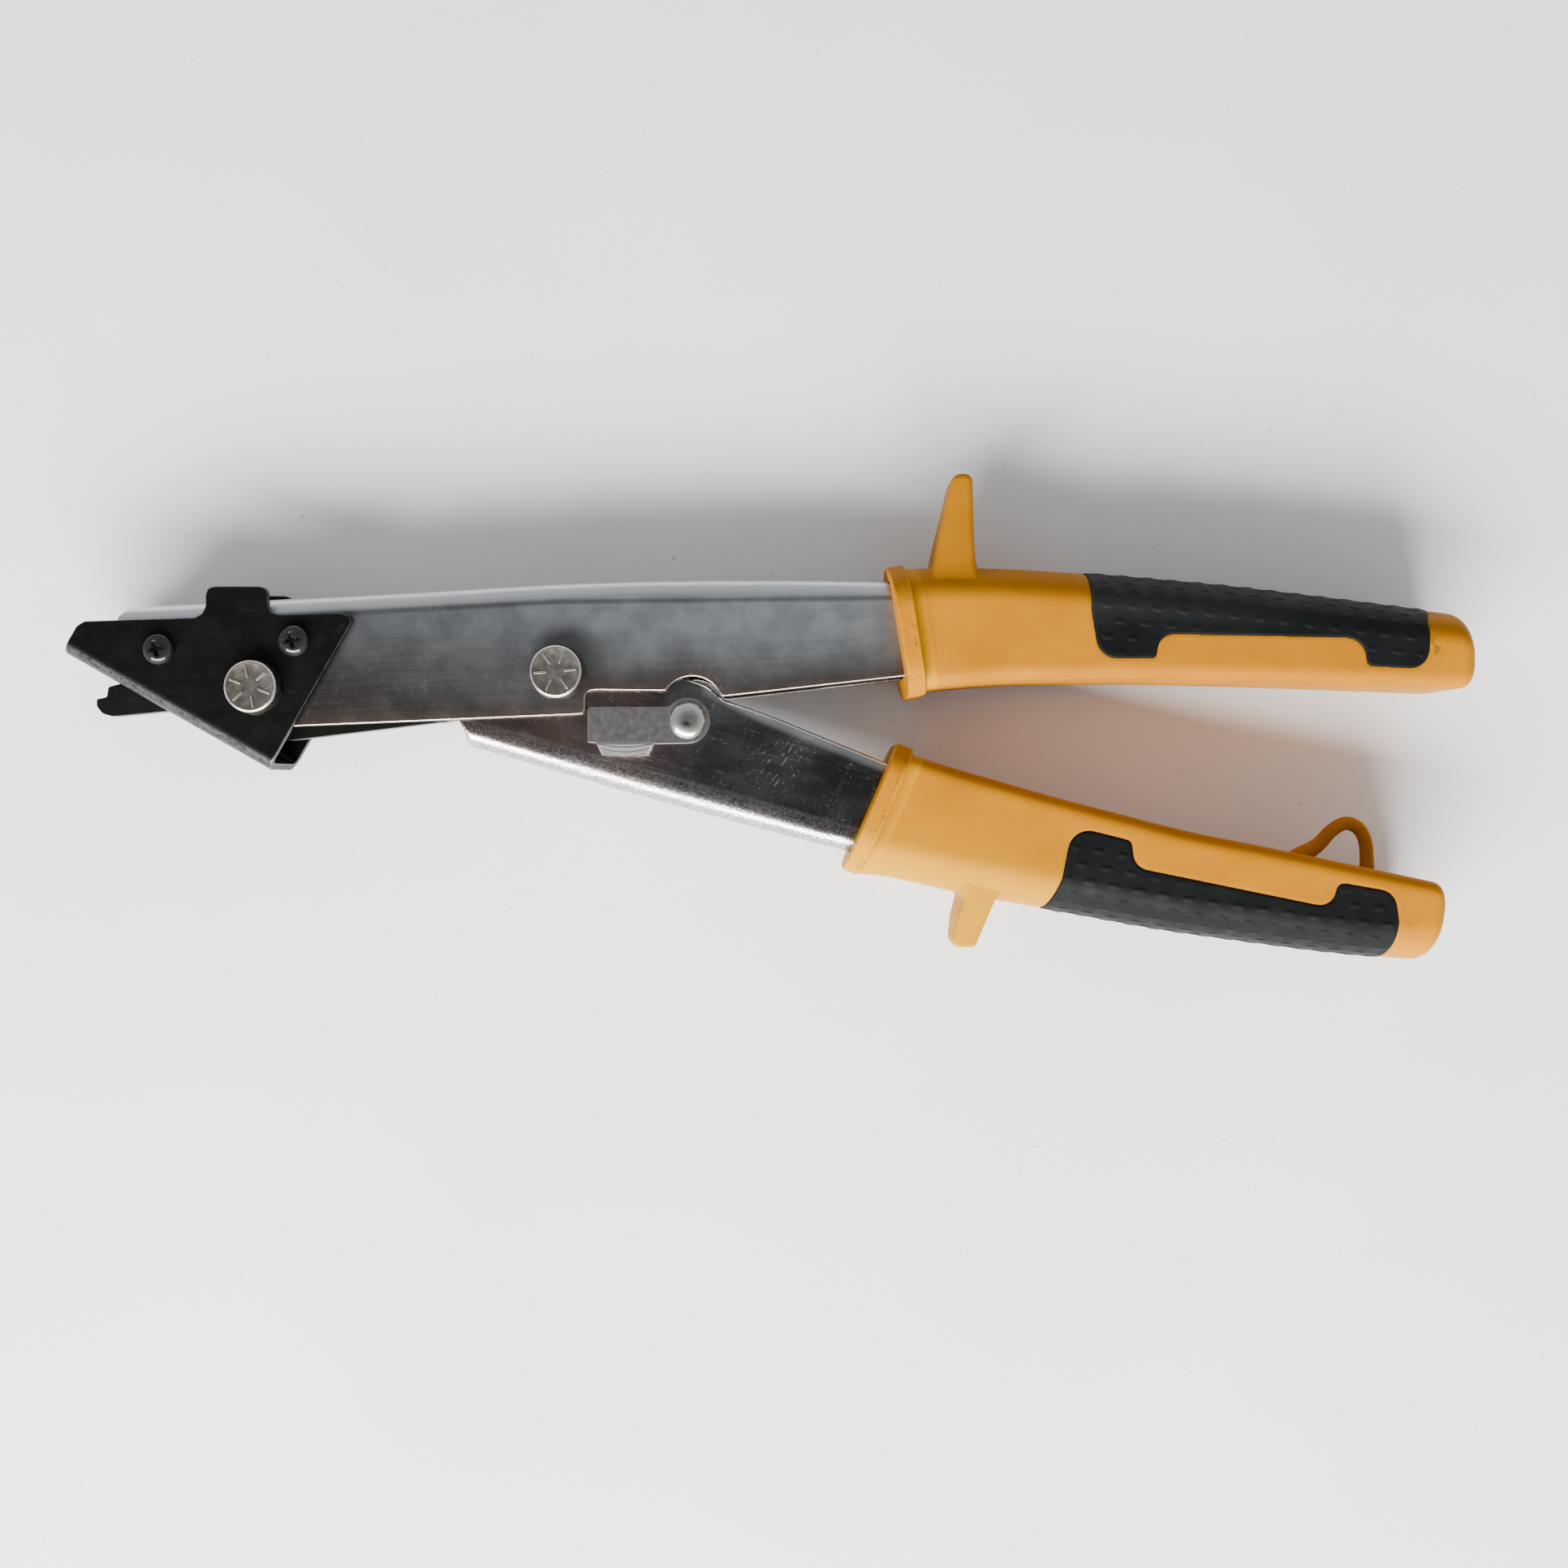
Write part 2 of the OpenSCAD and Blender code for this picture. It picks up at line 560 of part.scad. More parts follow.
// flat finger stop with tapering thickness, from root to tip
module finger_guard(root, tip, root_half, tip_half) {
    hull() {
        for (p = root) at(p, mid_z - root_half) cylinder(r = 0.8, h = 2 * root_half, $fn = 16);
        for (p = tip) at(p, mid_z - tip_half) cylinder(r = 1, h = 2 * tip_half, $fn = 16);
    }
}

module upper_grip() color("orange") difference() {
    union() {
        grip_solid(upper_stations, 0, false);
        collar(upper_stations, upper_proud, false);
        finger_guard([[76.8, 18], [83.2, 18]], [[81.4, 39.6], [83.1, 39.6]], 9, 5);
    }
    upper_pocket();
    difference() {
        plate(0, 2 * mid_z) upper_inlay_region();
        grip_solid(upper_stations, inlay_depth, false);
    }
}

module upper_grip_inlay() color("#222222") difference() {
    intersection() {
        grip_solid(upper_stations, -inlay_proud, false);
        plate(0, 2 * mid_z) offset(delta = -0.03) upper_inlay_region();
    }
    grip_solid(upper_stations, inlay_depth - 0.03, false);
}

module lower_grip() color("orange") difference() {
    union() {
        grip_solid(lower_stations, 0, true);
        collar(lower_stations, lower_proud, true);
        finger_guard([[82.6, -41], [88.8, -42.4]], [[81.8, -54.6], [83.6, -54.9]], 9, 5);
    }
    lower_pocket();
    difference() {
        plate(0, 2 * mid_z) lower_inlay_region();
        grip_solid(lower_stations, inlay_depth, true);
    }
}

module lower_grip_inlay() color("#222222") difference() {
    intersection() {
        grip_solid(lower_stations, -inlay_proud, true);
        plate(0, 2 * mid_z) offset(delta = -0.03) lower_inlay_region();
    }
    grip_solid(lower_stations, inlay_depth - 0.03, true);
}

module hang_loop() color("orange") {
    route = [[148.6, -39.6], [152.8, -37.2], [156.1, -35.1], [158.9, -32.2], [161.7, -30.7],
             [164.3, -31.6], [165.8, -34.2], [166.2, -38], [166.2, -43]];
    xs = [for (i = [0:len(route) - 1]) [i, route[i][0]]];
    ys = [for (i = [0:len(route) - 1]) [i, route[i][1]]];
    wire([for (t = [0:0.25:len(route) - 1]) [curve(xs, t), curve(ys, t), mid_z]], loop_thick / 2, 12);
}

translate([pivot[0], pivot[1], 0]) {
    body_channel();
    die_shoe();
    die_screws();
    front_bolt();
    front_nut();
    blade_sleeve();
    blade_spacers();
    punch_blade();
    pivot_bolt();
    pivot_nut();
    pivot_sleeve();
    opening_spring();
    upper_grip();
    upper_grip_inlay();
    lever_channel();
    drive_pin();
    drive_washers();
    latch_rivet();
    latch_plate();
    lower_grip();
    lower_grip_inlay();
    hang_loop();
}
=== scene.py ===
"""Looks of a hand nibbler for sheet metal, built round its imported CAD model."""
import contextlib
import json
import math

import bmesh
import bpy
import numpy as np
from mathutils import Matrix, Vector


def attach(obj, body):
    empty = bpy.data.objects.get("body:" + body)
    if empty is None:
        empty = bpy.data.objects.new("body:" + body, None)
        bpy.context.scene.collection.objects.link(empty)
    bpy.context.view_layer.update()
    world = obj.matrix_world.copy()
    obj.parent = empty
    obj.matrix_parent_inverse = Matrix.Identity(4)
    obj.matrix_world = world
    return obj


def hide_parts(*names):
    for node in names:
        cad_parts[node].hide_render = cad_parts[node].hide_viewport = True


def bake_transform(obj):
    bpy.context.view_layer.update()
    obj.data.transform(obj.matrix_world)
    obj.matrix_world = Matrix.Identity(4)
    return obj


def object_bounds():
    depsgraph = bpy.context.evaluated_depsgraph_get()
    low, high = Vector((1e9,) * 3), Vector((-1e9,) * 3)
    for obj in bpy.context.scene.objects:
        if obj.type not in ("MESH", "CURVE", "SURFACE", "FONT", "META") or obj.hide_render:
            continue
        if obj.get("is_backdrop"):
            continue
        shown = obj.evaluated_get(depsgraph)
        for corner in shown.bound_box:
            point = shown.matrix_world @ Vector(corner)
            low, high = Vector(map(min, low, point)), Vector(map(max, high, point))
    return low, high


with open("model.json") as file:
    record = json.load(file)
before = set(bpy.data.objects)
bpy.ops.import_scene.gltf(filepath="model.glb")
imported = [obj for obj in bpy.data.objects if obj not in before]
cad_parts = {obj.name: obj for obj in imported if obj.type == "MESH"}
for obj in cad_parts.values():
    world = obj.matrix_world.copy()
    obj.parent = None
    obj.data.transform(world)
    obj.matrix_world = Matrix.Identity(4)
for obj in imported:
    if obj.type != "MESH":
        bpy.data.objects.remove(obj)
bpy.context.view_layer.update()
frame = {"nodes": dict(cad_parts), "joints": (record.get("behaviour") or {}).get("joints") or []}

MM = 0.001
joints = {j["name"]: j for j in frame["joints"]}
PIVOT = np.array(joints["lever_hinge"]["pos_m"]) / MM
FRONT = np.array(joints["blade_hinge"]["pos_m"]) / MM - PIVOT
LATCH = np.array(joints["latch_hinge"]["pos_m"]) / MM - PIVOT
MID = PIVOT[2]
THROUGH = (-5, 2 * MID + 5)  # heights of a cut that goes through the whole tool

# ---------------- sizes of the CAD model, in mm
BODY_HALF, BODY_SHEET, BODY_BEND = 7.5, 2.0, 4.0
LEVER_HALF, LEVER_SHEET, LEVER_BEND, LEVER_SLOPE = 5.2, 1.8, 3.6, 15.6
DIE_SHEET, DIE_BEND, DIE_SLOPE, FOLD_LENGTH = 1.5, 3.0, 29.7, 47.8
DIE_CORNER = np.array([-99.6, 3.9])
BLADE_THICK, HEX_FLATS, HEAD_HEIGHT = 3.5, 10.7, 3.3
SHANK_R, BOLT_HOLE_R, SLEEVE_R, SCREW_R = 3.17, 3.20, 4.55, 1.95
LATCH_LOW, LATCH_END_R = MID + LEVER_HALF + 0.06, 4.65
LATCH_TOP = LATCH_LOW + 1.2
GRIP_HALF, COLLAR_HALF, COLLAR_THICK, COLLAR_INNER, TANG_GAP = 12.5, 15.0, 3.0, 1.2, 0.05
OUTER_ROUND, INNER_ROUND, END_ROUND = 8.0, 3.0, 3.4
INLAY_DEPTH, INLAY_PROUD, INLAY_SEAM, INLAY_RIM, LIP = 1.4, 0.2, 0.08, 0.40, 0.45
VOXEL, SMOOTHING = 0.34, 4
SCREWS = [(-79.9, 4.5), (-52.7, 6.2)]
DRIVE_PIN, PIN_HOLE_R, SLOT_R, SLOT_PLAY = np.array([-27.0, 0.5]), 2.52, 2.6, 0.6
ARCH, ARCH_R = (27.2, -7.0), 6.2

BODY_TOP = [(-89, 13.4), (-57, 15.1), (-31, 16.5), (0, 18.3), (26, 19), (51, 19),
            (67, 18.7), (100, 16.8), (140, 13)]
LEVER_SPINE = [(-40, -19), (-11, -19.3), (24, -19.65), (67, -19.2), (100, -17.4), (136, -14.2)]
UPPER = [(69.6, 21.6, 73.6, -3.4), (79, 21.9, 81.5, -2.6), (90, 21.7, 91, -1.9),
         (104, 20.9, 104, -1.6), (120, 19.6, 120, -1.5), (137, 18, 137, -1.9),
         (154, 16, 153.5, -2.4), (170, 14, 169.4, -3), (184.6, 12.2, 184.3, -3.6)]
LOWER = [(60.4, -40.9, 70.9, -16.6), (68.5, -42, 78.5, -19), (80, -44.6, 88.5, -21.9),
         (92, -46.9, 99, -24.9), (106, -49.3, 112, -28.3), (122, -52.2, 127, -32.1),
         (138, -54.5, 142, -35.1), (154, -56.6, 158, -38.4), (167, -58, 169.6, -40.8),
         (177, -58.9, 179, -42.8)]
UPPER_INLAY = [(107.4, 40, 0), (106.9, 12, 0), (108.5, 2.4, 4.2), (119.9, 2.4, 0.9), (120.4, 7.3, 3.2),
               (161.2, 6.5, 4.2), (161.8, 0.9, 0.9), (174.0, 0.3, 3.8), (174.6, 10, 0), (177.6, 14, 0),
               (178, 40, 0)]
LOWER_INLAY = [(90, -70, 0), (97.6, -50, 0), (101.1, -41.5, 0), (103.1, -30.9, 4.2), (115.0, -33.9, 1.3),
               (115.5, -39.2, 3.4), (155.0, -47.3, 3.2), (155.9, -42.1, 1.5), (167.4, -44.1, 3.8),
               (168.2, -50, 0), (167.4, -58, 0), (170, -70, 0)]
UPPER_GUARD = [(74.6, 86.4, 16.8, 10.9), (75.2, 85.2, 19.2, 10.0), (75.9, 84.4, 22.2, 9.2),
               (77.1, 84.2, 27.6, 8.2), (78.5, 84.2, 33.4, 7.0), (79.8, 84.2, 39.4, 6.0),
               (80.2, 84.0, 40.2, 5.8), (80.8, 83.5, 40.6, 5.4)]
LOWER_GUARD = [(80.4, 92.4, -40.6, 9.9), (81.2, 90.4, -43.4, 9.2), (81.9, 88.6, -45.7, 8.6),
               (80.6, 86.9, -50.0, 7.4), (80.0, 85.2, -54.4, 6.2), (80.3, 84.9, -55.4, 6.0),
               (80.8, 84.6, -55.85, 5.4)]
LOOP = [(148.6, -39.6), (152.8, -37.2), (156.1, -35.1), (158.9, -32.2), (161.7, -30.7),
        (164.3, -31.6), (165.8, -34.2), (166.2, -38), (166.2, -43)]


# ---------------- curves and outlines
def curve(knots, x):
    """Smooth height of a curve through knots (x, y), with the same tangents as the CAD's."""
    k = np.array(knots, float)
    x = np.asarray(x, float)
    i = np.clip(np.searchsorted(k[:, 0], x, side="right") - 1, 0, len(k) - 2)
    low, high = np.maximum(np.arange(len(k)) - 1, 0), np.minimum(np.arange(len(k)) + 1, len(k) - 1)
    slope = (k[high, 1] - k[low, 1]) / (k[high, 0] - k[low, 0])
    h = k[i + 1, 0] - k[i, 0]
    t = (x - k[i, 0]) / h
    return (k[i, 1] * (1 + t * t * (2 * t - 3)) + slope[i] * h * t * (1 - t) ** 2
            + k[i + 1, 1] * t * t * (3 - 2 * t) + slope[i + 1] * h * t * t * (t - 1))


def path_at(points, t):
    """Smooth values at position t of a path, where its points are at 0, 1, 2 and so on."""
    index = np.arange(len(points))
    return np.stack([curve(np.stack([index, c], 1), t) for c in np.array(points, float).T], -1)


def spine_points(knots, x, lift=0.0):
    return np.column_stack([x, curve(knots, x) + lift])


def rotate(points, degrees):
    """Points turned about the pivot, seen from above."""
    t = math.radians(degrees)
    return np.asarray(points, float) @ [[math.cos(t), math.sin(t)], [-math.sin(t), math.cos(t)]]


def arc(centre, r, start, end, pieces=None):
    """Points of an arc between two angles in degrees, one about every 6 degrees."""
    pieces = pieces or max(2, int(abs(end - start) / 6))
    return [(centre[0] + r * math.cos(a), centre[1] + r * math.sin(a))
            for a in np.radians(np.linspace(start, end, pieces + 1))]


def stadium(a, b, r, pieces=None):
    """Outline of a slot with round ends about two points."""
    lean = math.degrees(math.atan2(b[1] - a[1], b[0] - a[0]))
    return arc(b, r, lean - 90, lean + 90, pieces) + arc(a, r, lean + 90, lean + 270, pieces)


def soften(outline, sigma=0.4, spacing=0.12, tolerance=0.006):
    """A closed outline with its corners rounded off, kept to the points that matter."""
    p = np.array(outline, float)
    step = np.linalg.norm(np.roll(p, -1, 0) - p, axis=1)
    s = np.concatenate([[0], np.cumsum(step)])
    n = int(s[-1] / spacing)
    at = np.linspace(0, s[-1], n, endpoint=False)
    closed = np.vstack([p, p[:1]])
    dense = np.stack([np.interp(at, s, closed[:, c]) for c in (0, 1)], 1)
    reach = int(4 * sigma / spacing) + 1
    kernel = np.exp(-0.5 * (np.arange(-reach, reach + 1) * spacing / sigma) ** 2)
    kernel /= kernel.sum()
    soft = sum(w * np.roll(dense, -j, 0) for w, j in zip(kernel, range(-reach, reach + 1)))
    kept = [0]
    for i in range(1, n):
        a, b = soft[kept[-1]], soft[(i + 1) % n]
        run = soft[kept[-1] + 1:i + 1] - a
        d = (b - a) / max(np.linalg.norm(b - a), 1e-9)
        if np.abs(run[:, 0] * d[1] - run[:, 1] * d[0]).max() > tolerance:
            kept.append(i)
    return soft[kept]


def fillet(corners):
    """An outline from corners (x, y, radius), each rounded to its radius."""
    p = np.array(corners, float)[:, :2]
    points = []
    for i, (x, y, r) in enumerate(corners):
        if r == 0:
            points.append((x, y))
            continue
        a, b = p[i - 1] - p[i], p[(i + 1) % len(p)] - p[i]
        a, b = a / np.linalg.norm(a), b / np.linalg.norm(b)
        half = 0.5 * math.acos(a @ b)
        centre = p[i] + (a + b) / np.linalg.norm(a + b) * r / math.sin(half)
        start, end = p[i] + a * r / math.tan(half) - centre, p[i] + b * r / math.tan(half) - centre
        first = math.degrees(math.atan2(start[1], start[0]))
        sweep = (math.degrees(math.atan2(end[1], end[0])) - first + 180) % 360 - 180
        points += arc(centre, r, first, first + sweep, 8)
    return points


def outline_distance(points, outline):
    """Distance of points from a closed outline, positive inside it."""
    a = np.array(outline, float)
    best = np.full(len(points), 1e9)
    crossings = np.zeros(len(points), int)
    for p, q in zip(a, np.roll(a, -1, 0)):
        d = q - p
        t = np.clip(((points - p) @ d) / max(d @ d, 1e-12), 0, 1)
        best = np.minimum(best, np.linalg.norm(points - p - t[:, None] * d, axis=1))
        if p[1] != q[1]:
            spans = (points[:, 1] < max(p[1], q[1])) & (points[:, 1] >= min(p[1], q[1]))
            crossings += spans & (points[:, 0] < p[0] + (points[:, 1] - p[1]) * d[0] / d[1])
    return np.where(crossings % 2 == 1, best, -best)


# ---------------- meshes
@contextlib.contextmanager
def editing(mesh):
    work = bmesh.new()
    work.from_mesh(mesh)
    yield work
    work.to_mesh(mesh)
    work.free()


def link_object(name, data):
    ob = bpy.data.objects.new(name, data)
    bpy.context.scene.collection.objects.link(ob)
    return ob


def new_object(name, verts, faces):
    """A mesh object from points in mm, measured from the main pivot in x and y."""
    co = np.asarray(verts, float) + [PIVOT[0], PIVOT[1], 0]
    mesh = bpy.data.meshes.new(name)
    mesh.from_pydata((co * MM).tolist(), [], faces)
    with editing(mesh) as work:
        bmesh.ops.recalc_face_normals(work, faces=work.faces)
    return link_object(name, mesh)


def bake(ob):
    """Turns the modifiers of an object into its mesh."""
    graph = bpy.context.evaluated_depsgraph_get()
    mesh = bpy.data.meshes.new_from_object(ob.evaluated_get(graph))
    old = ob.data
    ob.modifiers.clear()
    ob.data = mesh
    bpy.data.meshes.remove(old)
    return ob


def boolean(ob, other, operation="DIFFERENCE"):
    m = ob.modifiers.new("boolean", "BOOLEAN")
    m.operation, m.object, m.solver = operation, other, "MANIFOLD"
    bake(ob)
    bpy.data.objects.remove(other)


def join(name, *parts):
    """One object with the meshes of several."""
    mesh = bpy.data.meshes.new(name)
    with editing(mesh) as work:
        for part in parts:
            work.from_mesh(part.data)
            bpy.data.objects.remove(part)
    return link_object(name, mesh)


def rows_to_faces(rows, n, caps=True):
    """Faces between closed rings of n points each, and one over either end."""
    faces = [(j * n + i, j * n + (i + 1) % n, (j + 1) * n + (i + 1) % n, (j + 1) * n + i)
             for j in range(rows - 1) for i in range(n)]
    if caps:
        faces += [tuple(range(n)), tuple(range((rows - 1) * n, rows * n))[::-1]]
    return faces


def stack(name, levels):
    """A solid through level outlines; levels are (outline, z)."""
    verts = np.vstack([np.column_stack([outline, np.full(len(outline), z)]) for outline, z in levels])
    return new_object(name, verts, rows_to_faces(len(levels), len(levels[0][0])))


def prism(name, outline, z0, z1):
    return stack(name, [(outline, z0), (outline, z1)])


def turned(name, centre, profile, steps=64):
    """A turned solid with flat ends from (radius, z); a radius may be a list of one per step."""
    a = np.linspace(0, 2 * math.pi, steps, endpoint=False)
    unit = np.column_stack([np.cos(a), np.sin(a)])
    return stack(name, [(centre[:2] + unit * np.reshape(r, (-1, 1)), z) for r, z in profile])


def tube(name, path, radius, sides):
    """A round rod along a path of 3D points; radius may change along it."""
    d = np.gradient(path, axis=0)
    d /= np.linalg.norm(d, axis=1)[:, None]
    across = np.cross([0, 0, 1], d)
    across /= np.linalg.norm(across, axis=1)[:, None]
    a = np.linspace(0, 2 * math.pi, sides, endpoint=False)[:, None]
    rings = [at + r * (np.cos(a) * x + np.sin(a) * y) for at, r, x, y in
             zip(path, np.broadcast_to(radius, len(path)), across, np.cross(d, across))]
    return new_object(name, np.vstack(rings), rows_to_faces(len(path), sides))


def folded(name, spine, into, half, sheet, bend, depth, bend_steps=10):
    """A U-shaped folded sheet along a 2D spine; into is the direction of its depth."""
    def side(h, r, start):
        a = np.radians(np.linspace(0, 90, bend_steps + 1))
        arcs = [(start + r - r * math.sin(t), h - r + r * math.cos(t)) for t in a]
        return [(depth, h)] + arcs + [(d, -z) for d, z in arcs[::-1]] + [(depth, -h)]
    profile = side(half, bend, 0) + side(half - sheet, bend - sheet, sheet)[::-1]
    verts = [(x + into[0] * d, y + into[1] * d, MID + z) for x, y in spine for d, z in profile]
    return new_object(name, verts, rows_to_faces(len(spine), len(profile)))


def drill(ob, centre, r):
    boolean(ob, turned("drill", centre, [(r, z) for z in THROUGH], 48))


def shade(ob, angle):
    """Smooth shading that stays sharp over edges above an angle."""
    ob.data.polygons.foreach_set("use_smooth", np.ones(len(ob.data.polygons), bool))
    ob.data.set_sharp_from_angle(angle=math.radians(angle))
    m = ob.modifiers.new("normals", "WEIGHTED_NORMAL")
    m.keep_sharp, m.weight = True, 60
    bake(ob)


def clean(ob, angle=0.15):
    """Joins flat neighbours, so that edges can be rounded evenly."""
    with editing(ob.data) as work:
        bmesh.ops.remove_doubles(work, verts=work.verts, dist=2e-6)
        bmesh.ops.dissolve_limit(work, angle_limit=math.radians(angle), verts=work.verts, edges=work.edges)


def round_edges(ob, width, segments=2, angle=40, slot=-1):
    m = ob.modifiers.new("bevel", "BEVEL")
    m.width, m.segments, m.limit_method = width * MM, segments, "ANGLE"
    m.angle_limit, m.use_clamp_overlap, m.material = math.radians(angle), False, slot
    return bake(ob)


def remesh(ob, voxel, smoothing):
    """Melts overlapping solids into one skin with soft corners."""
    m = ob.modifiers.new("remesh", "REMESH")
    m.mode, m.voxel_size = "VOXEL", voxel * MM
    s = ob.modifiers.new("smooth", "SMOOTH")
    s.factor, s.iterations = 0.5, smoothing
    bake(ob)


def two_coats(ob, first, second, picks=None):
    """Gives a part two materials; picks(centre, normal) chooses the faces of the second."""
    ob.data.materials.clear()
    ob.data.materials.append(first)
    ob.data.materials.append(second)
    for f in ob.data.polygons if picks else ():
        f.material_index = int(picks(np.array(f.center) / MM - [*PIVOT[:2], 0], np.array(f.normal)))


def place(ob, body, node, material=None, sharp=32):
    shade(ob, sharp)
    if material:
        ob.data.materials.clear()
        ob.data.materials.append(material)
    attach(ob, body)
    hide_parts(node)


# ---------------- materials
class Paint:
    """A node material; points are given in mm from the main pivot."""

    def __init__(self, name):
        self.material = bpy.data.materials.new(name)
        self.material.use_nodes = True
        self.tree = self.material.node_tree
        self.shader = self.tree.nodes["Principled BSDF"]
        self.color = None
        coords = self.node("ShaderNodeTexCoord").outputs["Object"]
        self.mm = self.vector("SUBTRACT", self.vector("SCALE", coords, 1 / MM), (PIVOT[0], PIVOT[1], MID))
        split = self.node("ShaderNodeSeparateXYZ")
        self.link(self.mm, split.inputs[0])
        self.x, self.y, self.z = split.outputs[:3]

    def node(self, kind, **settings):
        n = self.tree.nodes.new(kind)
        for k, v in settings.items():
            setattr(n, k, v)
        return n

    def link(self, a, b):
        """Feeds a socket, a number or a tuple to a socket."""
        if isinstance(a, (int, float)):
            b.default_value = a
        elif isinstance(a, tuple):
            b.default_value = (*a, 1) if len(a) == 3 and b.type == "RGBA" else a
        else:
            self.tree.links.new(a, b)

    def math(self, operation, a, b=0.0, c=0.0, clamp=False):
        n = self.node("ShaderNodeMath", operation=operation, use_clamp=clamp)
        for value, socket in zip((a, b, c), n.inputs):
            self.link(value, socket)
        return n.outputs[0]

    def vector(self, operation, a, b=(0.0, 0.0, 0.0), output="Vector"):
        n = self.node("ShaderNodeVectorMath", operation=operation)
        self.link(a, n.inputs[0])
        self.link(b, n.inputs["Scale"] if operation == "SCALE" else n.inputs[1])
        return n.outputs[output]

    def times(self, a, b):
        return self.math("MULTIPLY", a, b)

    def off(self, a, b=0.0):
        """How far a is from b."""
        return self.math("ABSOLUTE", self.math("SUBTRACT", a, b))

    def length(self, a):
        return self.vector("LENGTH", a, output="Value")

    def noise(self, size, stretch=(1, 1, 1), turn=0.0, detail=3.0, offset=0.0):
        """Noise from 0 to 1 whose grain is about size mm, stretched along turned axes."""
        m = self.node("ShaderNodeMapping", vector_type="TEXTURE")
        self.link(self.mm, m.inputs["Vector"])
        m.inputs["Rotation"].default_value = (0, 0, math.radians(turn))
        m.inputs["Location"].default_value = (offset * 37.1, offset * 23.3, offset * 11.9)
        m.inputs["Scale"].default_value = tuple(size * s for s in stretch)
        n = self.node("ShaderNodeTexNoise")
        self.link(m.outputs[0], n.inputs["Vector"])
        for key, v in (("Scale", 1.0), ("Detail", detail), ("Roughness", 0.55)):
            n.inputs[key].default_value = v
        return n.outputs["Fac"]

    def ramp(self, value, low, high, out_low=0.0, out_high=1.0):
        """Smooth step of a value from low, which gives out_low, to high."""
        n = self.node("ShaderNodeMapRange", interpolation_type="SMOOTHSTEP")
        self.link(value, n.inputs["Value"])
        for key, v in zip(("From Min", "From Max", "To Min", "To Max"), (low, high, out_low, out_high)):
            n.inputs[key].default_value = v
        return n.outputs["Result"]

    def mix(self, factor, a, b):
        n = self.node("ShaderNodeMix", data_type="RGBA")
        for socket, value in ((0, factor), (6, a), (7, b)):
            self.link(value, n.inputs[socket])
        return n.outputs[2]

    def between(self, noise, low, high):
        """Spreads a noise over two colours or two numbers."""
        if isinstance(low, tuple):
            return self.mix(self.ramp(noise, 0.3, 0.7), low, high)
        return self.ramp(noise, 0.3, 0.7, low, high)

    def coat(self, mask, color, amount=1.0):
        """Lays a colour over what is there, where the mask is 1."""
        self.color = self.mix(self.times(mask, amount), self.color, color)

    def spot(self, centre, size, soft=1.0):
        """1 at a place, falling to 0 at size mm from it."""
        away = self.vector("DIVIDE", self.vector("SUBTRACT", self.mm, centre), size)
        return self.ramp(self.length(away), 1.0, 1.0 - soft)

    def along(self, a, b, c=0.0):
        """a*x + b*y + c, for bands that run at a slope."""
        return self.math("MULTIPLY_ADD", self.x, a, self.math("MULTIPLY_ADD", self.y, b, c))

    def from_point(self, x, y):
        """The way from a point, seen from above."""
        return self.vector("MULTIPLY", self.vector("SUBTRACT", self.mm, (x, y, 0.0)), (1.0, 1.0, 0.0))

    def line(self, a, b):
        """Distance in mm from the line between two points, seen from above."""
        away = self.from_point(*a)
        d = (b[0] - a[0], b[1] - a[1], 0.0)
        dot = self.vector("DOT_PRODUCT", away, d, "Value")
        share = self.math("DIVIDE", dot, d[0] ** 2 + d[1] ** 2, clamp=True)
        return self.length(self.vector("SUBTRACT", away, self.vector("SCALE", d, share)))

    def circle(self, centre, r):
        """Distance in mm from a circle, seen from above."""
        return self.off(self.length(self.from_point(*centre)), r)

    def nearest(self, *distances):
        low = distances[0]
        for d in distances[1:]:
            low = self.math("MINIMUM", low, d)
        return low

    def scratches(self, *runs):
        """Thin broken lines, 0 to 1; runs are (seed, angle, amount, length, width)."""
        total = 0.0
        for seed, turn, amount, length, width in runs:
            line = self.noise(1.0, (length, width, 4), turn, 0.0, seed)
            patch = self.ramp(self.noise(7.0, detail=2.0, offset=seed * 2.3), 0.45, 0.62)
            thin = self.ramp(line, 0.76 - 0.06 * amount, 0.80)
            total = self.math("MAXIMUM", total, self.times(thin, patch))
        return total

    def bump(self, height, distance, strength=1.0):
        """distance is in mm; several bumps add up."""
        n = self.node("ShaderNodeBump")
        n.inputs["Strength"].default_value = strength
        n.inputs["Distance"].default_value = distance * MM
        self.link(height, n.inputs["Height"])
        socket = self.shader.inputs["Normal"]
        if socket.links:
            self.link(socket.links[0].from_socket, n.inputs["Normal"])
        self.link(n.outputs[0], socket)

    def surface(self, roughness, metallic=0.0, **fixed):
        self.link(self.color, self.shader.inputs["Base Color"])
        self.link(roughness, self.shader.inputs["Roughness"])
        self.shader.inputs["Metallic"].default_value = metallic
        for key, v in fixed.items():
            self.shader.inputs[key.replace("_", " ")].default_value = v
        return self.material


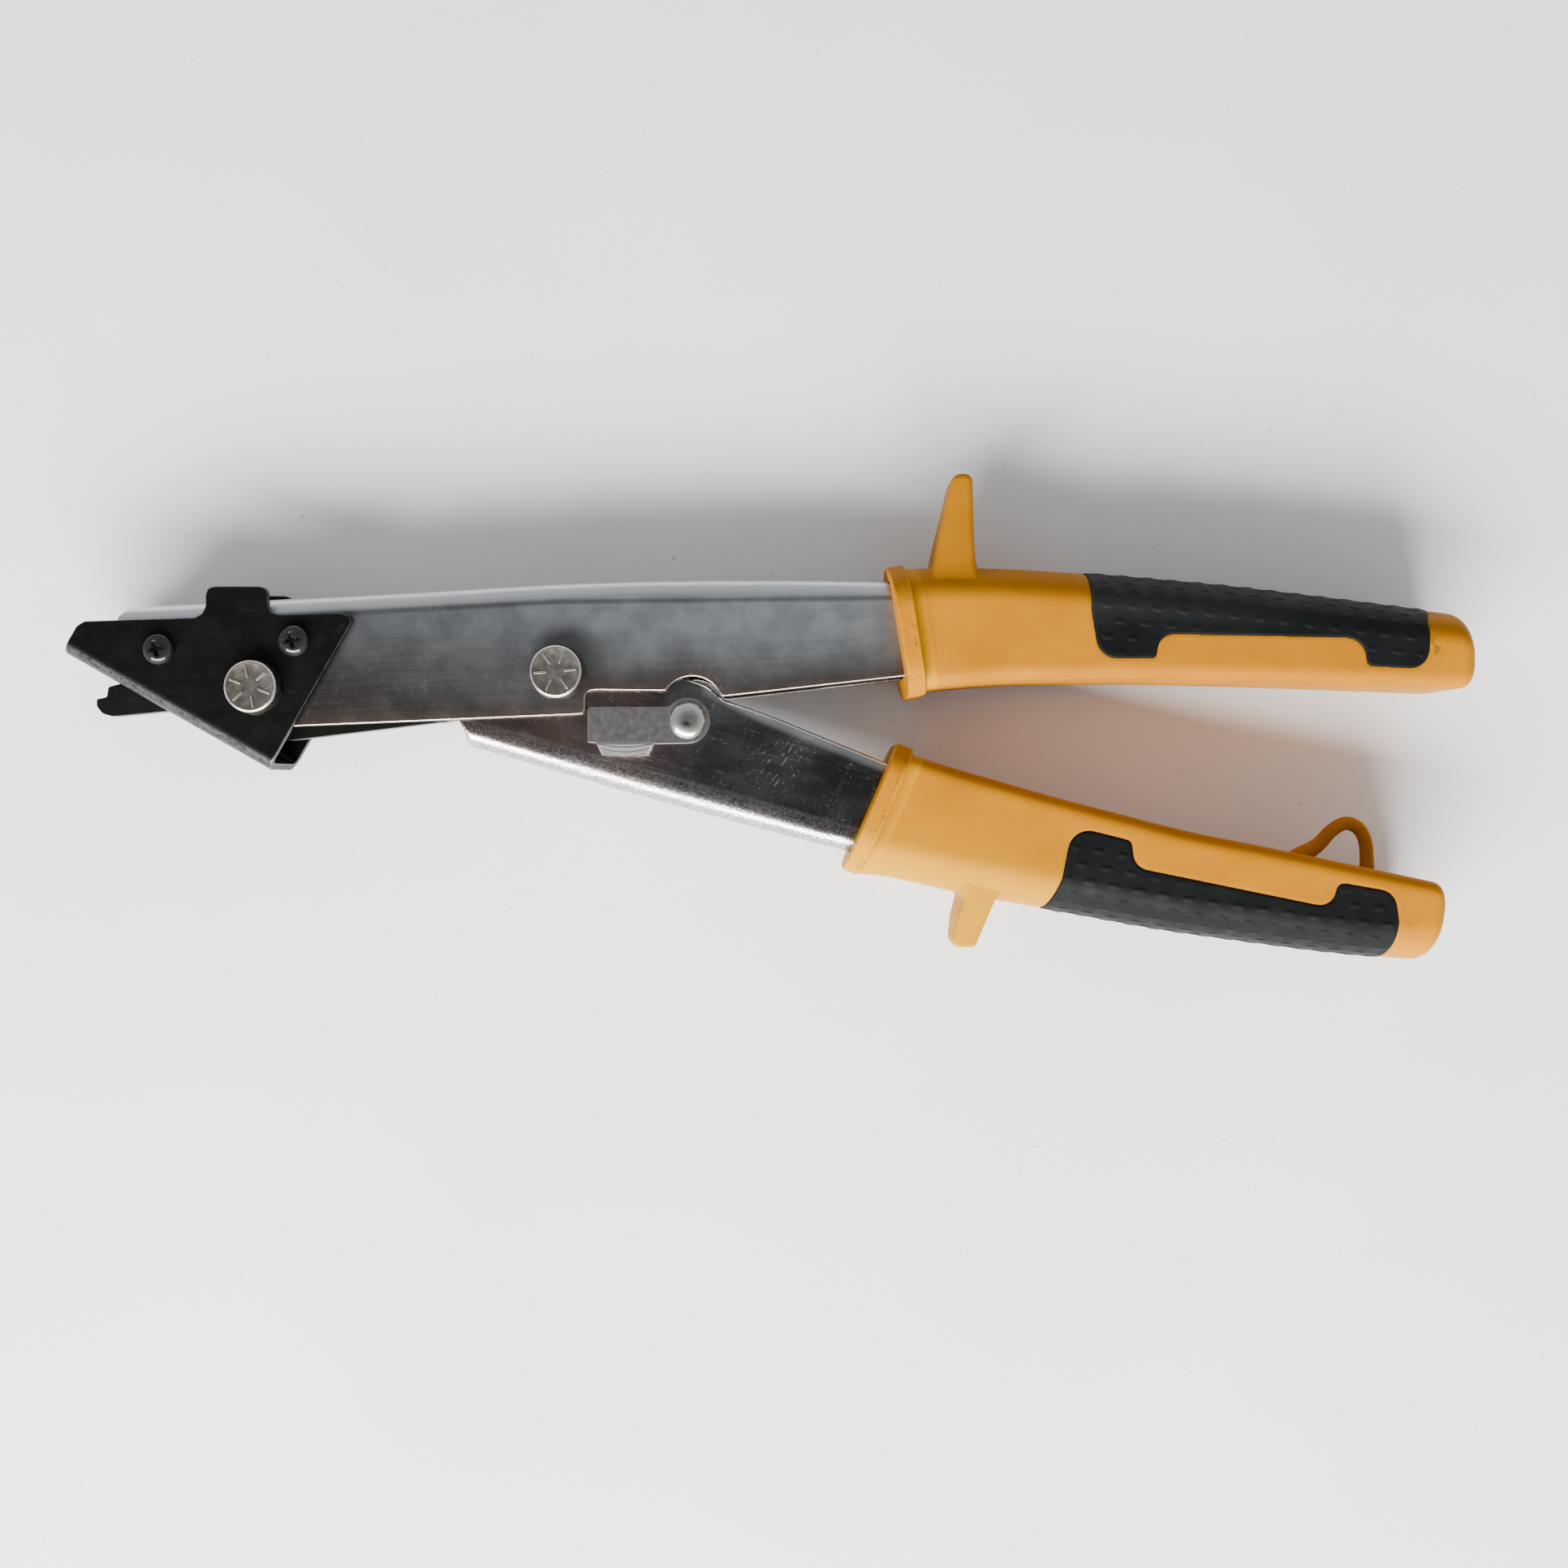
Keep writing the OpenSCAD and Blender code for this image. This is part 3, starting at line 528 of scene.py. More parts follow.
def amber_plastic():
    p = Paint("amber_plastic")
    p.color = p.between(p.noise(22), (0.333, 0.121, 0.0003), (0.386, 0.146, 0.0004))
    # painted light: the amber turns lighter towards the bottom, over the lower grip, which lies nearer the
    # window
    p.coat(p.ramp(p.along(0.30, 1.0), -4.0, -22.0), (0.425, 0.200, 0.0004))
    p.coat(p.ramp(p.noise(3.5, (3, 1, 1), -8, 4, 3), 0.35, 0.75), (0.47, 0.185, 0.002), 0.22)
    grime = p.ramp(p.noise(1.3, detail=4, offset=9), 0.45, 0.72)
    dirt = 0.0
    for centre, size, amount in (
            ((67.6, 12, 15), (3.4, 12, 8), 0.5), ((70.6, -2, 15), (3.0, 5, 7), 0.7),
            ((69, 6, 15), (3, 5, 6), 0.6), ((175.7, 4.6, 12), (2.4, 4.6, 6), 0.9),
            ((177.4, 12.4, 8), (2.2, 2.2, 6), 0.8), ((181.8, 5.0, 12), (1.0, 1.2, 6), 1.0),
            ((58.6, -37, 15), (3, 7, 8), 0.4), ((169.8, -50.5, 12), (2.6, 2.4, 7), 0.55)):
        dirt = p.math("MAXIMUM", dirt, p.times(p.spot(centre, size), amount))
    # painted light: a lighter amber band on the grip beside each collar, painted over where the collar's
    # shadow falls
    ring = p.nearest(p.line((71.1, 21.8), (75.1, -3.2)), p.line((61.8, -41.5), (72.3, -17.2)))
    p.coat(p.ramp(ring, 1.75, 1.35), (0.46, 0.205, 0.0006), 0.8)
    front = p.nearest(p.line((69.2, 24), (73.6, -5)), p.line((60, -42), (71, -16)))
    p.coat(p.times(p.ramp(front, 0.9, 0.2), grime), (0.15, 0.06, 0.012), 0.7)
    p.coat(p.times(dirt, grime), (0.085, 0.032, 0.008))
    p.coat(p.ramp(p.noise(0.55, detail=1, offset=17), 0.80, 0.84), (0.20, 0.08, 0.02), 0.45)
    rough = p.math("MULTIPLY_ADD", dirt, 0.12, p.between(p.noise(6, detail=4, offset=5), 0.44, 0.52))
    p.bump(p.noise(0.35, detail=2, offset=1), 0.012, 0.5)
    p.bump(p.noise(5.0, detail=2, offset=2), 0.08, 0.3)
    return p.surface(rough, Subsurface_Weight=0.15, Subsurface_Scale=0.0016,
                     Subsurface_Radius=(1.0, 0.4, 0.05), IOR=1.46, Specular_IOR_Level=0.05)


def black_rubber():
    p = Paint("black_rubber")
    p.color = p.between(p.noise(9, detail=4), (0.0031, 0.0034, 0.0035), (0.0052, 0.0056, 0.0058))
    dust = p.ramp(p.noise(0.5, detail=2, offset=4), 0.66, 0.80)
    p.coat(p.times(dust, p.ramp(p.noise(5, offset=8), 0.4, 0.7)), (0.05, 0.05, 0.049), 0.20)
    # painted light: the rubber turns lighter towards +y, on the upper inlay's side turned away from the
    # window
    p.coat(p.ramp(p.y, 8.0, 15.0), (0.0150, 0.0157, 0.0162), 0.8)
    p.bump(p.noise(0.28, offset=2), 0.015, 0.45)
    return p.surface(p.between(p.noise(4, detail=4, offset=6), 0.50, 0.62), Specular_IOR_Level=0.08)


def body_steel():
    p = Paint("plated_body_steel")
    # painted reflection: the plated cheek is darker towards the bottom and the left and lighter towards the
    # top and the right, as its surroundings mirror in it
    reach = p.ramp(p.x, -62, 52)
    low = p.mix(reach, (0.060, 0.050, 0.0455), (0.205, 0.212, 0.218))
    high = p.mix(reach, (0.150, 0.157, 0.165), (0.405, 0.434, 0.458))
    p.color = p.mix(p.ramp(p.along(-0.03, 1.0), -4.5, 13.0), low, high)
    # painted shade: darker, and reddish close in, along the lower edges and round the arch
    edge = p.nearest(p.line((-64, -11.4), (5, -8.5)), p.line((5.3, -8.5), (5.8, -3.9)),
                     p.line((6.5, -3.7), (21, -3.7)), p.line((34, -4.85), (70.2, -0.8)),
                     p.circle(ARCH, ARCH_R))
    p.coat(p.ramp(edge, 7.0, 1.0), (0.078, 0.059, 0.051), 0.65)
    p.coat(p.ramp(edge, 2.2, 0.5), (0.15, 0.095, 0.078), 0.55)
    # painted reflection on the top bend: a light band along it and a dark line under it
    bend = p.math("MAXIMUM", p.along(-0.055, 1.0, -14.2), p.along(-0.012, 1.0, -14.2))
    p.coat(p.ramp(bend, 0.1, 1.2), (0.47, 0.49, 0.51))
    p.coat(p.ramp(p.off(bend), 0.8, 0.1), (0.07, 0.07, 0.072), 0.6)
    # painted reflection and shade of the pivot bolt head: a dark halo round it
    p.coat(p.ramp(p.circle((2.0, 2.0), 5.0), 4.5, 0.3), (0.05, 0.05, 0.05), 0.5)
    p.coat(p.ramp(p.noise(13, (1.8, 1, 1), 2, offset=2), 0.35, 0.7), (0.34, 0.36, 0.38), 0.06)
    smear = p.ramp(p.noise(4, (1, 1.6, 1), 30, 4, 12), 0.45, 0.68)
    p.coat(p.times(p.spot((62, 8, 7.5), (22, 11, 30)), smear), (0.42, 0.44, 0.46), 0.35)
    brush = p.noise(0.35, (60, 0.6, 1), 3)
    p.coat(p.ramp(brush, 0.35, 0.7), (0.42, 0.43, 0.44), 0.05)
    mark = p.scratches((8, -40, 0.4, 4, 0.07), (15, 75, 0.3, 3, 0.07))
    p.coat(mark, (0.80, 0.80, 0.80), 0.25)
    p.coat(p.ramp(p.noise(0.5, detail=1, offset=30), 0.74, 0.80), (0.07, 0.065, 0.06), 0.35)
    p.coat(p.ramp(p.noise(0.45, detail=1, offset=61), 0.76, 0.82), (0.55, 0.53, 0.52), 0.30)
    rough = p.math("MULTIPLY_ADD", brush, 0.05, p.between(p.noise(6, detail=4, offset=5), 0.30, 0.36))
    p.bump(brush, 0.001, 0.5)
    p.bump(p.noise(16, (2, 1, 1), detail=1, offset=40), 0.03, 0.2)
    p.bump(mark, 0.004, 0.4)
    return p.surface(rough, 1.0)


def lever_steel():
    p = Paint("bright_lever_steel")
    lean = math.radians(LEVER_SLOPE)
    down = p.along(math.sin(lean), math.cos(lean))
    fold = p.ramp(down, -14.0, -17.9)
    tone = p.noise(8, (2, 1, 1), -LEVER_SLOPE, 5)
    p.color = p.mix(p.ramp(tone, 0.35, 0.7), (0.075, 0.080, 0.084), (0.155, 0.162, 0.166))
    rust = p.ramp(p.noise(11, (2.5, 0.8, 1), -LEVER_SLOPE, 4, 7), 0.30, 0.60)
    p.coat(p.times(p.ramp(p.x, 34, 8), rust), (0.28, 0.195, 0.165), 0.8)
    speck = p.ramp(p.noise(0.6, offset=3), 0.60, 0.68)
    p.coat(p.times(speck, p.ramp(p.noise(6, offset=19), 0.44, 0.60)), (0.52, 0.53, 0.54), 0.65)
    # painted highlight: a light band along the lever's upper edge
    rim_highlight = p.nearest(p.line((31, -2.9), (43, -8.7)), p.line((43, -8.7), (66, -18.0)))
    p.coat(p.ramp(rim_highlight, 2.7, 1.0), (0.66, 0.67, 0.675), 0.95)
    p.coat(p.ramp(p.circle(ARCH, 3.0), 4.5, 1.5), (0.26, 0.27, 0.272), 0.45)
    p.coat(p.ramp(p.off(down, -14.3), 0.7, 0.1), (0.36, 0.34, 0.33), 0.45)
    sparkle = p.ramp(p.noise(0.42, detail=2, offset=5), 0.44, 0.60)
    p.coat(p.times(p.ramp(p.off(down, -15.2), 1.7, 0.2), sparkle), (0.55, 0.51, 0.49), 0.4)
    p.coat(fold, p.mix(sparkle, (0.33, 0.29, 0.27), (0.61, 0.595, 0.59)))
    mark = p.scratches((5, 70, 0.4, 4, 0.08), (9, -15, 0.3, 8, 0.08))
    p.coat(mark, (0.80, 0.81, 0.82), 0.4)
    scuff = p.ramp(p.noise(0.9, (2.2, 0.6, 1), 48, 2, 23), 0.60, 0.68)
    p.coat(p.times(p.spot((45.0, -18.5, 7.5), (7.5, 8.0, 30), 0.7), scuff), (0.70, 0.72, 0.73), 0.75)
    rough = p.math("MULTIPLY_ADD", fold, 0.08, p.between(tone, 0.16, 0.24))
    p.bump(p.times(fold, p.noise(0.45, (1.3, 1, 1), -LEVER_SLOPE, 2, 6)), 0.10, 0.9)
    p.bump(p.noise(2.2, (3, 1, 1), -LEVER_SLOPE, offset=11), 0.012, 0.4)
    p.bump(mark, 0.008, 0.6)
    return p.surface(rough, 1.0)


def black_steel(name, base=0.0042, gloss=(0.36, 0.46), shine=0.16, worn_fold=False):
    """Black oxide; worn_fold rubs it off along both sides of the die's fold."""
    p = Paint(name)
    low, high = (base, base * 0.99, base * 0.96), (base * 1.5, base * 1.48, base * 1.42)
    p.color = p.between(p.noise(7, detail=4), low, high)
    p.coat(p.scratches((2, -12, 0.2, 4, 0.06), (21, 60, 0.5, 5, 0.06)), (0.16, 0.155, 0.15), 0.14)
    p.coat(p.ramp(p.noise(0.45, detail=2, offset=4), 0.70, 0.80), (0.07, 0.065, 0.06), 0.15)
    if worn_fold:
        across = np.array([math.sin(math.radians(DIE_SLOPE)), math.cos(math.radians(DIE_SLOPE))])
        above = p.along(*across, -across @ DIE_CORNER)
        band = p.times(p.ramp(above, 2.5, 1.1), p.ramp(p.off(p.z), 5.6, 7.8))
        grain = p.ramp(p.noise(0.6, (1.6, 1, 1), -DIE_SLOPE, 4, 2), 0.34, 0.58)
        p.coat(p.times(band, p.math("MULTIPLY_ADD", grain, 0.75, 0.2)), (0.057, 0.059, 0.062), 0.9)
        p.bump(p.times(band, grain), 0.03, 0.6)
    p.bump(p.noise(0.4, offset=5), 0.008, 0.5)
    rough = p.between(p.noise(3, detail=4, offset=6), *gloss)
    return p.surface(rough, 0.6, Specular_IOR_Level=shine)


def plain_steel(name, low, high, rough, grain=0.4, stretch=(1, 1, 1), marks=0.5,
                tint=(0.30, 0.26, 0.20), stains=0.4, stain_at=None, depth=0.006):
    """Bare or plated steel between two tones, with stains, scratches and a fine grain."""
    p = Paint(name)
    p.color = p.between(p.noise(3.2, detail=4), low, high)
    p.coat(p.ramp(p.noise(2.2, detail=5, offset=14), 0.55, 0.75), tint, stains)
    if stain_at:
        smear = p.ramp(p.noise(0.9, (1.6, 1, 1), detail=4, offset=21), 0.34, 0.56)
        p.coat(p.times(p.spot((*stain_at, 7.5), (1.5, 1.1, 20)), smear), (0.05, 0.035, 0.02), 0.85)
    mark = p.scratches((4, 25, marks, 3, 0.10), (13, -50, marks, 2.5, 0.10))
    p.coat(mark, tuple(min(1, c * 1.7) for c in high), 0.5)
    p.bump(p.noise(grain, stretch, offset=6), depth, 0.5)
    p.bump(mark, 0.02 * marks, 0.6)
    return p.surface(p.between(p.noise(1.5, offset=9), *rough), 1.0)


AMBER = amber_plastic()
RUBBER = black_rubber()
BODY_STEEL = body_steel()
LEVER_STEEL = lever_steel()
DIE_BLACK = black_steel("black_die_steel", worn_fold=True)
BLADE_BLACK = black_steel("black_blade_steel", 0.006)
SCREW_BLACK = black_steel("black_screw_steel", 0.019, (0.09, 0.14), 0.5)
BOLT_STEEL = plain_steel("plated_bolt_steel", (0.186, 0.166, 0.145), (0.25, 0.225, 0.198), (0.30, 0.40))
# painted highlight: a far lighter copy of the bolt steel for the heads' chamfers and the tops of their
# marks
BOLT_HIGHLIGHT = plain_steel("plated_bolt_edge_highlight", (0.56, 0.54, 0.51), (0.72, 0.70, 0.67), (0.16, 0.24))
LATCH_STEEL = plain_steel("nickel_latch_steel", (0.300, 0.290, 0.277), (0.325, 0.315, 0.303), (0.28, 0.34),
                          0.3, (8, 1, 1), 0.1, stains=0.04, depth=0.001)
# painted highlight: the thumb tab with its ribs gets a far lighter copy of the latch steel
LATCH_TAB_HIGHLIGHT = plain_steel("nickel_latch_ribs_highlight", (0.88, 0.84, 0.815), (0.97, 0.935, 0.91), (0.12, 0.18), 0.3,
                         marks=0.1, stains=0.1, depth=0.002)
RIVET_STEEL = plain_steel("bright_rivet_steel", (0.46, 0.445, 0.415), (0.55, 0.535, 0.50), (0.18, 0.24),
                          stain_at=(LATCH[0] - 0.1, LATCH[1] - 0.7))
SLEEVE_STEEL = plain_steel("sleeve_steel", (0.30, 0.30, 0.30), (0.42, 0.42, 0.42), (0.22, 0.34))
SPRING_STEEL = plain_steel("spring_wire", (0.20, 0.20, 0.20), (0.30, 0.30, 0.30), (0.2, 0.3))
# partly the real sheared edges, partly a painted highlight: a lighter, pinkish steel for cut faces and
# rounded edges
SHEARED_EDGE_HIGHLIGHT = plain_steel("sheared_edge_highlight", (0.32, 0.26, 0.24), (0.47, 0.41, 0.385), (0.20, 0.32), 0.3,
                          (1, 1, 6), tint=(0.48, 0.39, 0.35), stains=0.3)
DARK_EDGE = plain_steel("worn_black_edge", (0.06, 0.06, 0.058), (0.13, 0.13, 0.127), (0.28, 0.42),
                        tint=(0.02, 0.02, 0.02))


# ---------------- grips
def half_section(height, half, outer, inner, around=40, flat=24, corner=8):
    """Half of a section from its outer tip to the middle of its inner side: (depth, z)."""
    a = np.radians(np.linspace(0, 90, around))
    nose = np.stack([outer * (1 - np.cos(a)), half * np.sin(a)], 1)
    side = np.stack([np.linspace(outer, height - inner, flat), np.full(flat, half)], 1)[1:]
    b = np.radians(np.linspace(0, 90, corner))[1:]
    bend = np.stack([height - inner + inner * np.sin(b), half - inner + inner * np.cos(b)], 1)
    return np.vstack([nose, side, bend, [[height, 0]]])


def whole_section(o, d, half):
    """The closed ring of a half section that starts at o and goes inwards along d."""
    ring = np.vstack([half, (half * [1, -1])[-2:0:-1]])
    return np.column_stack([o + d * ring[:, :1], MID + ring[:, 1]])


def bump_height(u, v):
    """Rows of raised scales on the rubber, staggered; u along the grip, v round it.

    A scale rises towards its inner side, where it ends in a curved step."""
    along, around, half_u, half_v, high = 5.08, 3.15, 1.42, 0.80, 0.27
    row = np.round(v / around)
    u = u + np.where(row % 2 == 0, 0, along / 2)
    across = (v - row * around) / half_v
    q = ((u - along * np.round(u / along)) / half_u) ** 2 + across ** 2
    return high * np.sqrt(np.clip(1 - q, 0, 1)) * np.clip(0.42 + 0.58 * across, 0.08, 1)


def grip_shell(name, stations, inset=0.0, span=None, per_station=10, around=40, flat=24, relief=None):
    """Closed skin of a grip, pulled in by inset; span limits it to part of its length."""
    last = len(stations) - 1
    gap = math.dist(stations[-1][:2], stations[-2][:2])
    if span:
        ts = np.linspace(*span, int((span[1] - span[0]) * per_station) + 1)
        pulls = np.zeros(len(ts))
    else:
        body = np.linspace(0, last - 1.2 * END_ROUND / gap, int(last * per_station))
        a = np.radians(np.linspace(0, 90, 10))
        d = END_ROUND * (1 - np.sin(a)) + inset * np.sin(a)
        left = np.clip(END_ROUND - (d - inset), 0, END_ROUND)
        ts = np.concatenate([body, last - d / gap])
        pulls = np.concatenate([np.zeros(len(body)), END_ROUND - np.sqrt(END_ROUND ** 2 - left ** 2)])
    edges = path_at(stations, ts)
    runs = np.concatenate([[0], np.cumsum(np.linalg.norm(np.diff(edges[:, :2], axis=0), axis=1))])
    rows = []
    for edge, pull, run in zip(edges, pulls, runs):
        o, q = edge[:2], edge[2:]
        height = np.linalg.norm(q - o)
        d = (q - o) / height
        gone = inset + pull
        half = half_section(height - 2 * gone, GRIP_HALF - gone, OUTER_ROUND, INNER_ROUND, around, flat)
        half[:, 0] += gone
        if relief:
            tangent = np.gradient(half, axis=0)
            tangent /= np.linalg.norm(tangent, axis=1)[:, None]
            normal = np.stack([-tangent[:, 1], tangent[:, 0]], 1)
            v = np.concatenate([[0], np.cumsum(np.linalg.norm(np.diff(half, axis=0), axis=1))])
            half = half + normal * relief(run, v, o + d * half[:, :1])[:, None]
        rows.append(whole_section(o, d, half))
    return new_object(name, np.vstack(rows), rows_to_faces(len(rows), len(rows[0])))


def collar(name, stations, proud, side):
    o, q = np.array(stations[0][:2]), np.array(stations[0][2:])
    d = (q - o) / np.linalg.norm(q - o)
    front = np.array([d[1], -d[0]]) * side
    half = half_section(np.linalg.norm(q - o) + proud + COLLAR_INNER, COLLAR_HALF, 10.0, 7.0, 24, 8, 12)
    rows = [whole_section(o - d * proud + front * s, d, half) for s in (-0.6, COLLAR_THICK)]
    return round_edges(new_object(name, np.vstack(rows), rows_to_faces(2, len(rows[0]))), 0.5, 4, 60)


def guard(name, levels, count=26, corner=1.3):
    """Finger guard through (left, right, y, half thickness) levels, with round corners."""
    t = np.array(sorted(levels, key=lambda level: level[2]))
    rows = []
    for y in np.linspace(levels[0][2], levels[-1][2], count):
        left, right, half = [np.interp(y, t[:, 2], t[:, c]) for c in (0, 1, 3)]
        r = min(corner, (right - left) / 2 - 0.05, half - 0.05)
        corners = ((right - r, half - r), (left + r, half - r), (left + r, r - half), (right - r, r - half))
        for k, at in enumerate(corners):
            rows += [(x, y, MID + z) for x, z in arc(at, r, 90 * k, 90 * k + 90, 5)]
    return new_object(name, rows, rows_to_faces(count, len(rows) // count))


def vertex_values(mesh, key):
    values = np.empty(len(mesh.vertices) * 3)
    mesh.vertices.foreach_get(key, values)
    return values.reshape(-1, 3)


def shrink(ob, gap):
    """Moves the upright sides of a prism inwards."""
    with editing(ob.data) as work:
        work.normal_update()
        moves = []
        for v in work.verts:
            n = sum((f.normal for f in v.link_faces if abs(f.normal.z) < 0.5), Vector((0, 0, 0)))
            moves.append(n.normalized() * gap * MM)
        for v, m in zip(work.verts, moves):
            v.co -= m


def grip(node, body, stations, proud, side, levels, region, tang, half, span):
    """A moulded grip with its collar and guard, hollow for the tang, and the rubber let into it."""
    outline = soften(fillet(region), sigma=0.4, spacing=0.2, tolerance=0.01)
    block = join(node + "_moulding", grip_shell("core", stations), guard("guard", levels))
    remesh(block, VOXEL, SMOOTHING)
    boolean(block, collar("ring", stations, proud, side), "UNION")
    co = vertex_values(block.data, "co")
    away = -outline_distance(co[:, :2] / MM - PIVOT[:2], outline)
    drop = np.where((away > -0.3) & (away < LIP), 0.14 * (1 - np.clip(away, 0, LIP) / LIP) ** 2, 0)
    co -= vertex_values(block.data, "normal") * drop[:, None] * MM
    block.data.vertices.foreach_set("co", co.ravel())
    recess = prism("recess", outline, *THROUGH)
    boolean(recess, grip_shell("floor", stations, INLAY_DEPTH))
    boolean(block, recess)
    boolean(block, prism("pocket", tang, MID - half - TANG_GAP, MID + half + TANG_GAP))

    def relief(u, v, at):
        """The scales, which fade out near the seam, where the rubber rounds down."""
        inside = outline_distance(at, outline) - INLAY_SEAM
        edge = np.clip(INLAY_RIM - inside, 0, INLAY_RIM)
        fall = INLAY_RIM - np.sqrt(INLAY_RIM ** 2 - edge ** 2)
        fade = np.clip((inside - 0.5) / 0.8, 0, 1)
        return bump_height(u, v) * fade - np.where(inside > -0.6, 0.8 * fall, 0.4)

    rubber = grip_shell(node + "_moulding_rubber", stations, -INLAY_PROUD, span, 52, 60, 52, relief)
    keep = prism("keep", outline, *THROUGH)
    shrink(keep, INLAY_SEAM)
    boolean(rubber, keep, "INTERSECT")
    boolean(rubber, grip_shell("inside", stations, INLAY_DEPTH - 0.05, span, 8, 16, 8))
    place(block, body, node, AMBER, sharp=45)
    place(rubber, body, node + "_inlay", RUBBER, sharp=45)


upper_tang = spine_points(BODY_TOP, range(50, 139, 4), TANG_GAP).tolist() + [
    (138.6, 13.4), (138.6, 1.4), (100, 0.7), (70.2, -0.9), (50, -3.4)]
lower_tang = rotate(spine_points(LEVER_SPINE, range(46, 135, 4), -TANG_GAP), -LEVER_SLOPE).tolist() + [
    (123.5, -36.0), (100, -28.9), (66.2, -18.0), (40, -7.4)]
grip("upper_grip", "body", UPPER, 0.8, 1, UPPER_GUARD, UPPER_INLAY, upper_tang, BODY_HALF, (2.9, 7.75))
grip("lower_grip", "lever", LOWER, 0.3, -1, LOWER_GUARD, LOWER_INLAY, lower_tang, LEVER_HALF, (2.6, 8.6))

# ---------------- hanging loop
s = np.linspace(0, 1, 8 * (len(LOOP) - 1) + 1)
route = path_at(LOOP, s * (len(LOOP) - 1))
thick = 1.4 + 0.5 * np.exp(-((s - 0.08) / 0.14) ** 2) + 0.15 * np.exp(-((s - 0.98) / 0.08) ** 2)
loop = tube("hanging_loop", np.column_stack([route, np.full(len(route), MID)]), thick, 24)
place(loop, "lever", "hang_loop", AMBER)


# ---------------- folded sheet parts
def stamp(ob, outline, softness, holes, operation="INTERSECT"):
    """Cuts a sheet part to an outline and drills it; holes are (centre, radius)."""
    boolean(ob, prism("outline", soften(outline, softness), *THROUGH), operation)
    for centre, r in holes:
        drill(ob, centre, r)
    clean(ob)


screw_holes = [(p, SCREW_R) for p in SCREWS]
body = folded("body_shell", spine_points(BODY_TOP, np.linspace(-89, 138, 150)), (0, -1), BODY_HALF,
              BODY_SHEET, BODY_BEND, 36)
below = ([(-110, 30), (-110, -70), (170, -70), (170, 1.7), (140, 1.5), (100, 0.8), (70.2, -0.8),
          (34.0, -4.85)] + arc(ARCH, ARCH_R, 20, 149)
         + [(21.2, -3.75), (7.6, -3.6), (6.2, -3.8), (5.55, -4.6), (5.55, -7.9), (5, -8.5), (-64, -11.4),
            (-88.2, 2.4), (-89.6, 10.6), (-87.4, 13.2), (-87.4, 30)])
stamp(body, below, 0.45, [((0, 0), BOLT_HOLE_R), (FRONT, BOLT_HOLE_R)] + screw_holes, "DIFFERENCE")
# the body's sheared faces and rounded edges take the lighter edge steel, partly a painted highlight
two_coats(body, BODY_STEEL, SHEARED_EDGE_HIGHLIGHT,
          lambda c, n: abs(n[2]) < 0.4 and c[1] < curve(BODY_TOP, c[0]) - 4.5)
round_edges(body, 0.30, 3, slot=1)
place(body, "body", "body_channel")

spine = rotate(spine_points(LEVER_SPINE, np.linspace(-40, 134, 110)), -LEVER_SLOPE)
lever = folded("lever_shell", spine, rotate((0, 1), -LEVER_SLOPE), LEVER_HALF, LEVER_SHEET, LEVER_BEND, 36)
outline = [(-32, -1.5), (-31.5, 3.2), (-28.8, 5.6), (-25.5, 5.6), (-8, 8.6), (0, 9.4), (8, 8.2), (20, 2.4),
           (25.8, -0.9), (30, -2.4), (32, -4), (34, -5.6), (38.2, -7), (43.1, -8.7), (66.2, -18.1),
           (100, -29), (127, -36.8), (120, -60), (40, -50), (-17.5, -22), (-18.9, -15.2), (-19.1, -12.2),
           (-20.6, -9.6), (-24, -4.6), (-30, -4.2)]
stamp(lever, outline, 0.5, [((0, 0), SLEEVE_R), (DRIVE_PIN, PIN_HOLE_R)])


def lever_edge(c, n):
    """The sheared edges of the lever's cheeks and of its front end, which take the lighter, pinkish edge
    steel, partly as a painted highlight.
    """
    x, y = rotate(c[:2], LEVER_SLOPE)
    return abs(n[2]) < 0.4 and (y > curve(LEVER_SPINE, x) + 4.2 or c[0] < -17)


two_coats(lever, LEVER_STEEL, SHEARED_EDGE_HIGHLIGHT, lever_edge)
round_edges(lever, 0.7, 4)
place(lever, "lever", "lever_channel")

# ---------------- die and punch
fold_x, fold_y = rotate([(1, 0), (0, 1)], -DIE_SLOPE)
die = folded("die_fold", [DIE_CORNER + fold_x * d for d in np.linspace(0, FOLD_LENGTH, 3)], fold_y,
             BODY_HALF + DIE_SHEET, DIE_SHEET, DIE_BEND, 40, 12)
slot = DIE_CORNER + rotate([(5, -5), (33, -5), (33, 4), (5, 4)], -DIE_SLOPE)
boolean(die, prism("slot", soften(slot, 0.2), MID - 2, MID + 2))
outline = [(-99.7, 3.8), (-96.9, 9), (-95, 10.2), (-72.8, 10.9), (-71.3, 11.7), (-70.6, 13.2),
           (-70.6, 15.6), (-70.1, 16.8), (-69, 17.2), (-59.6, 17.2), (-58.5, 16.8), (-58, 15.6),
           (-58, 13.4), (-57.3, 12), (-55.8, 11.5), (-43.6, 11.9), (-41.6, 11.3), (-41.1, 10.1),
           (-58, -19.4), (-59, -22), (-99, -22), (-103, -2)]
stamp(die, outline, 0.3, [(FRONT, BOLT_HOLE_R)] + screw_holes)
two_coats(die, DIE_BLACK, DARK_EDGE)
round_edges(die, 0.22, slot=1)
place(die, "body", "die_shoe")

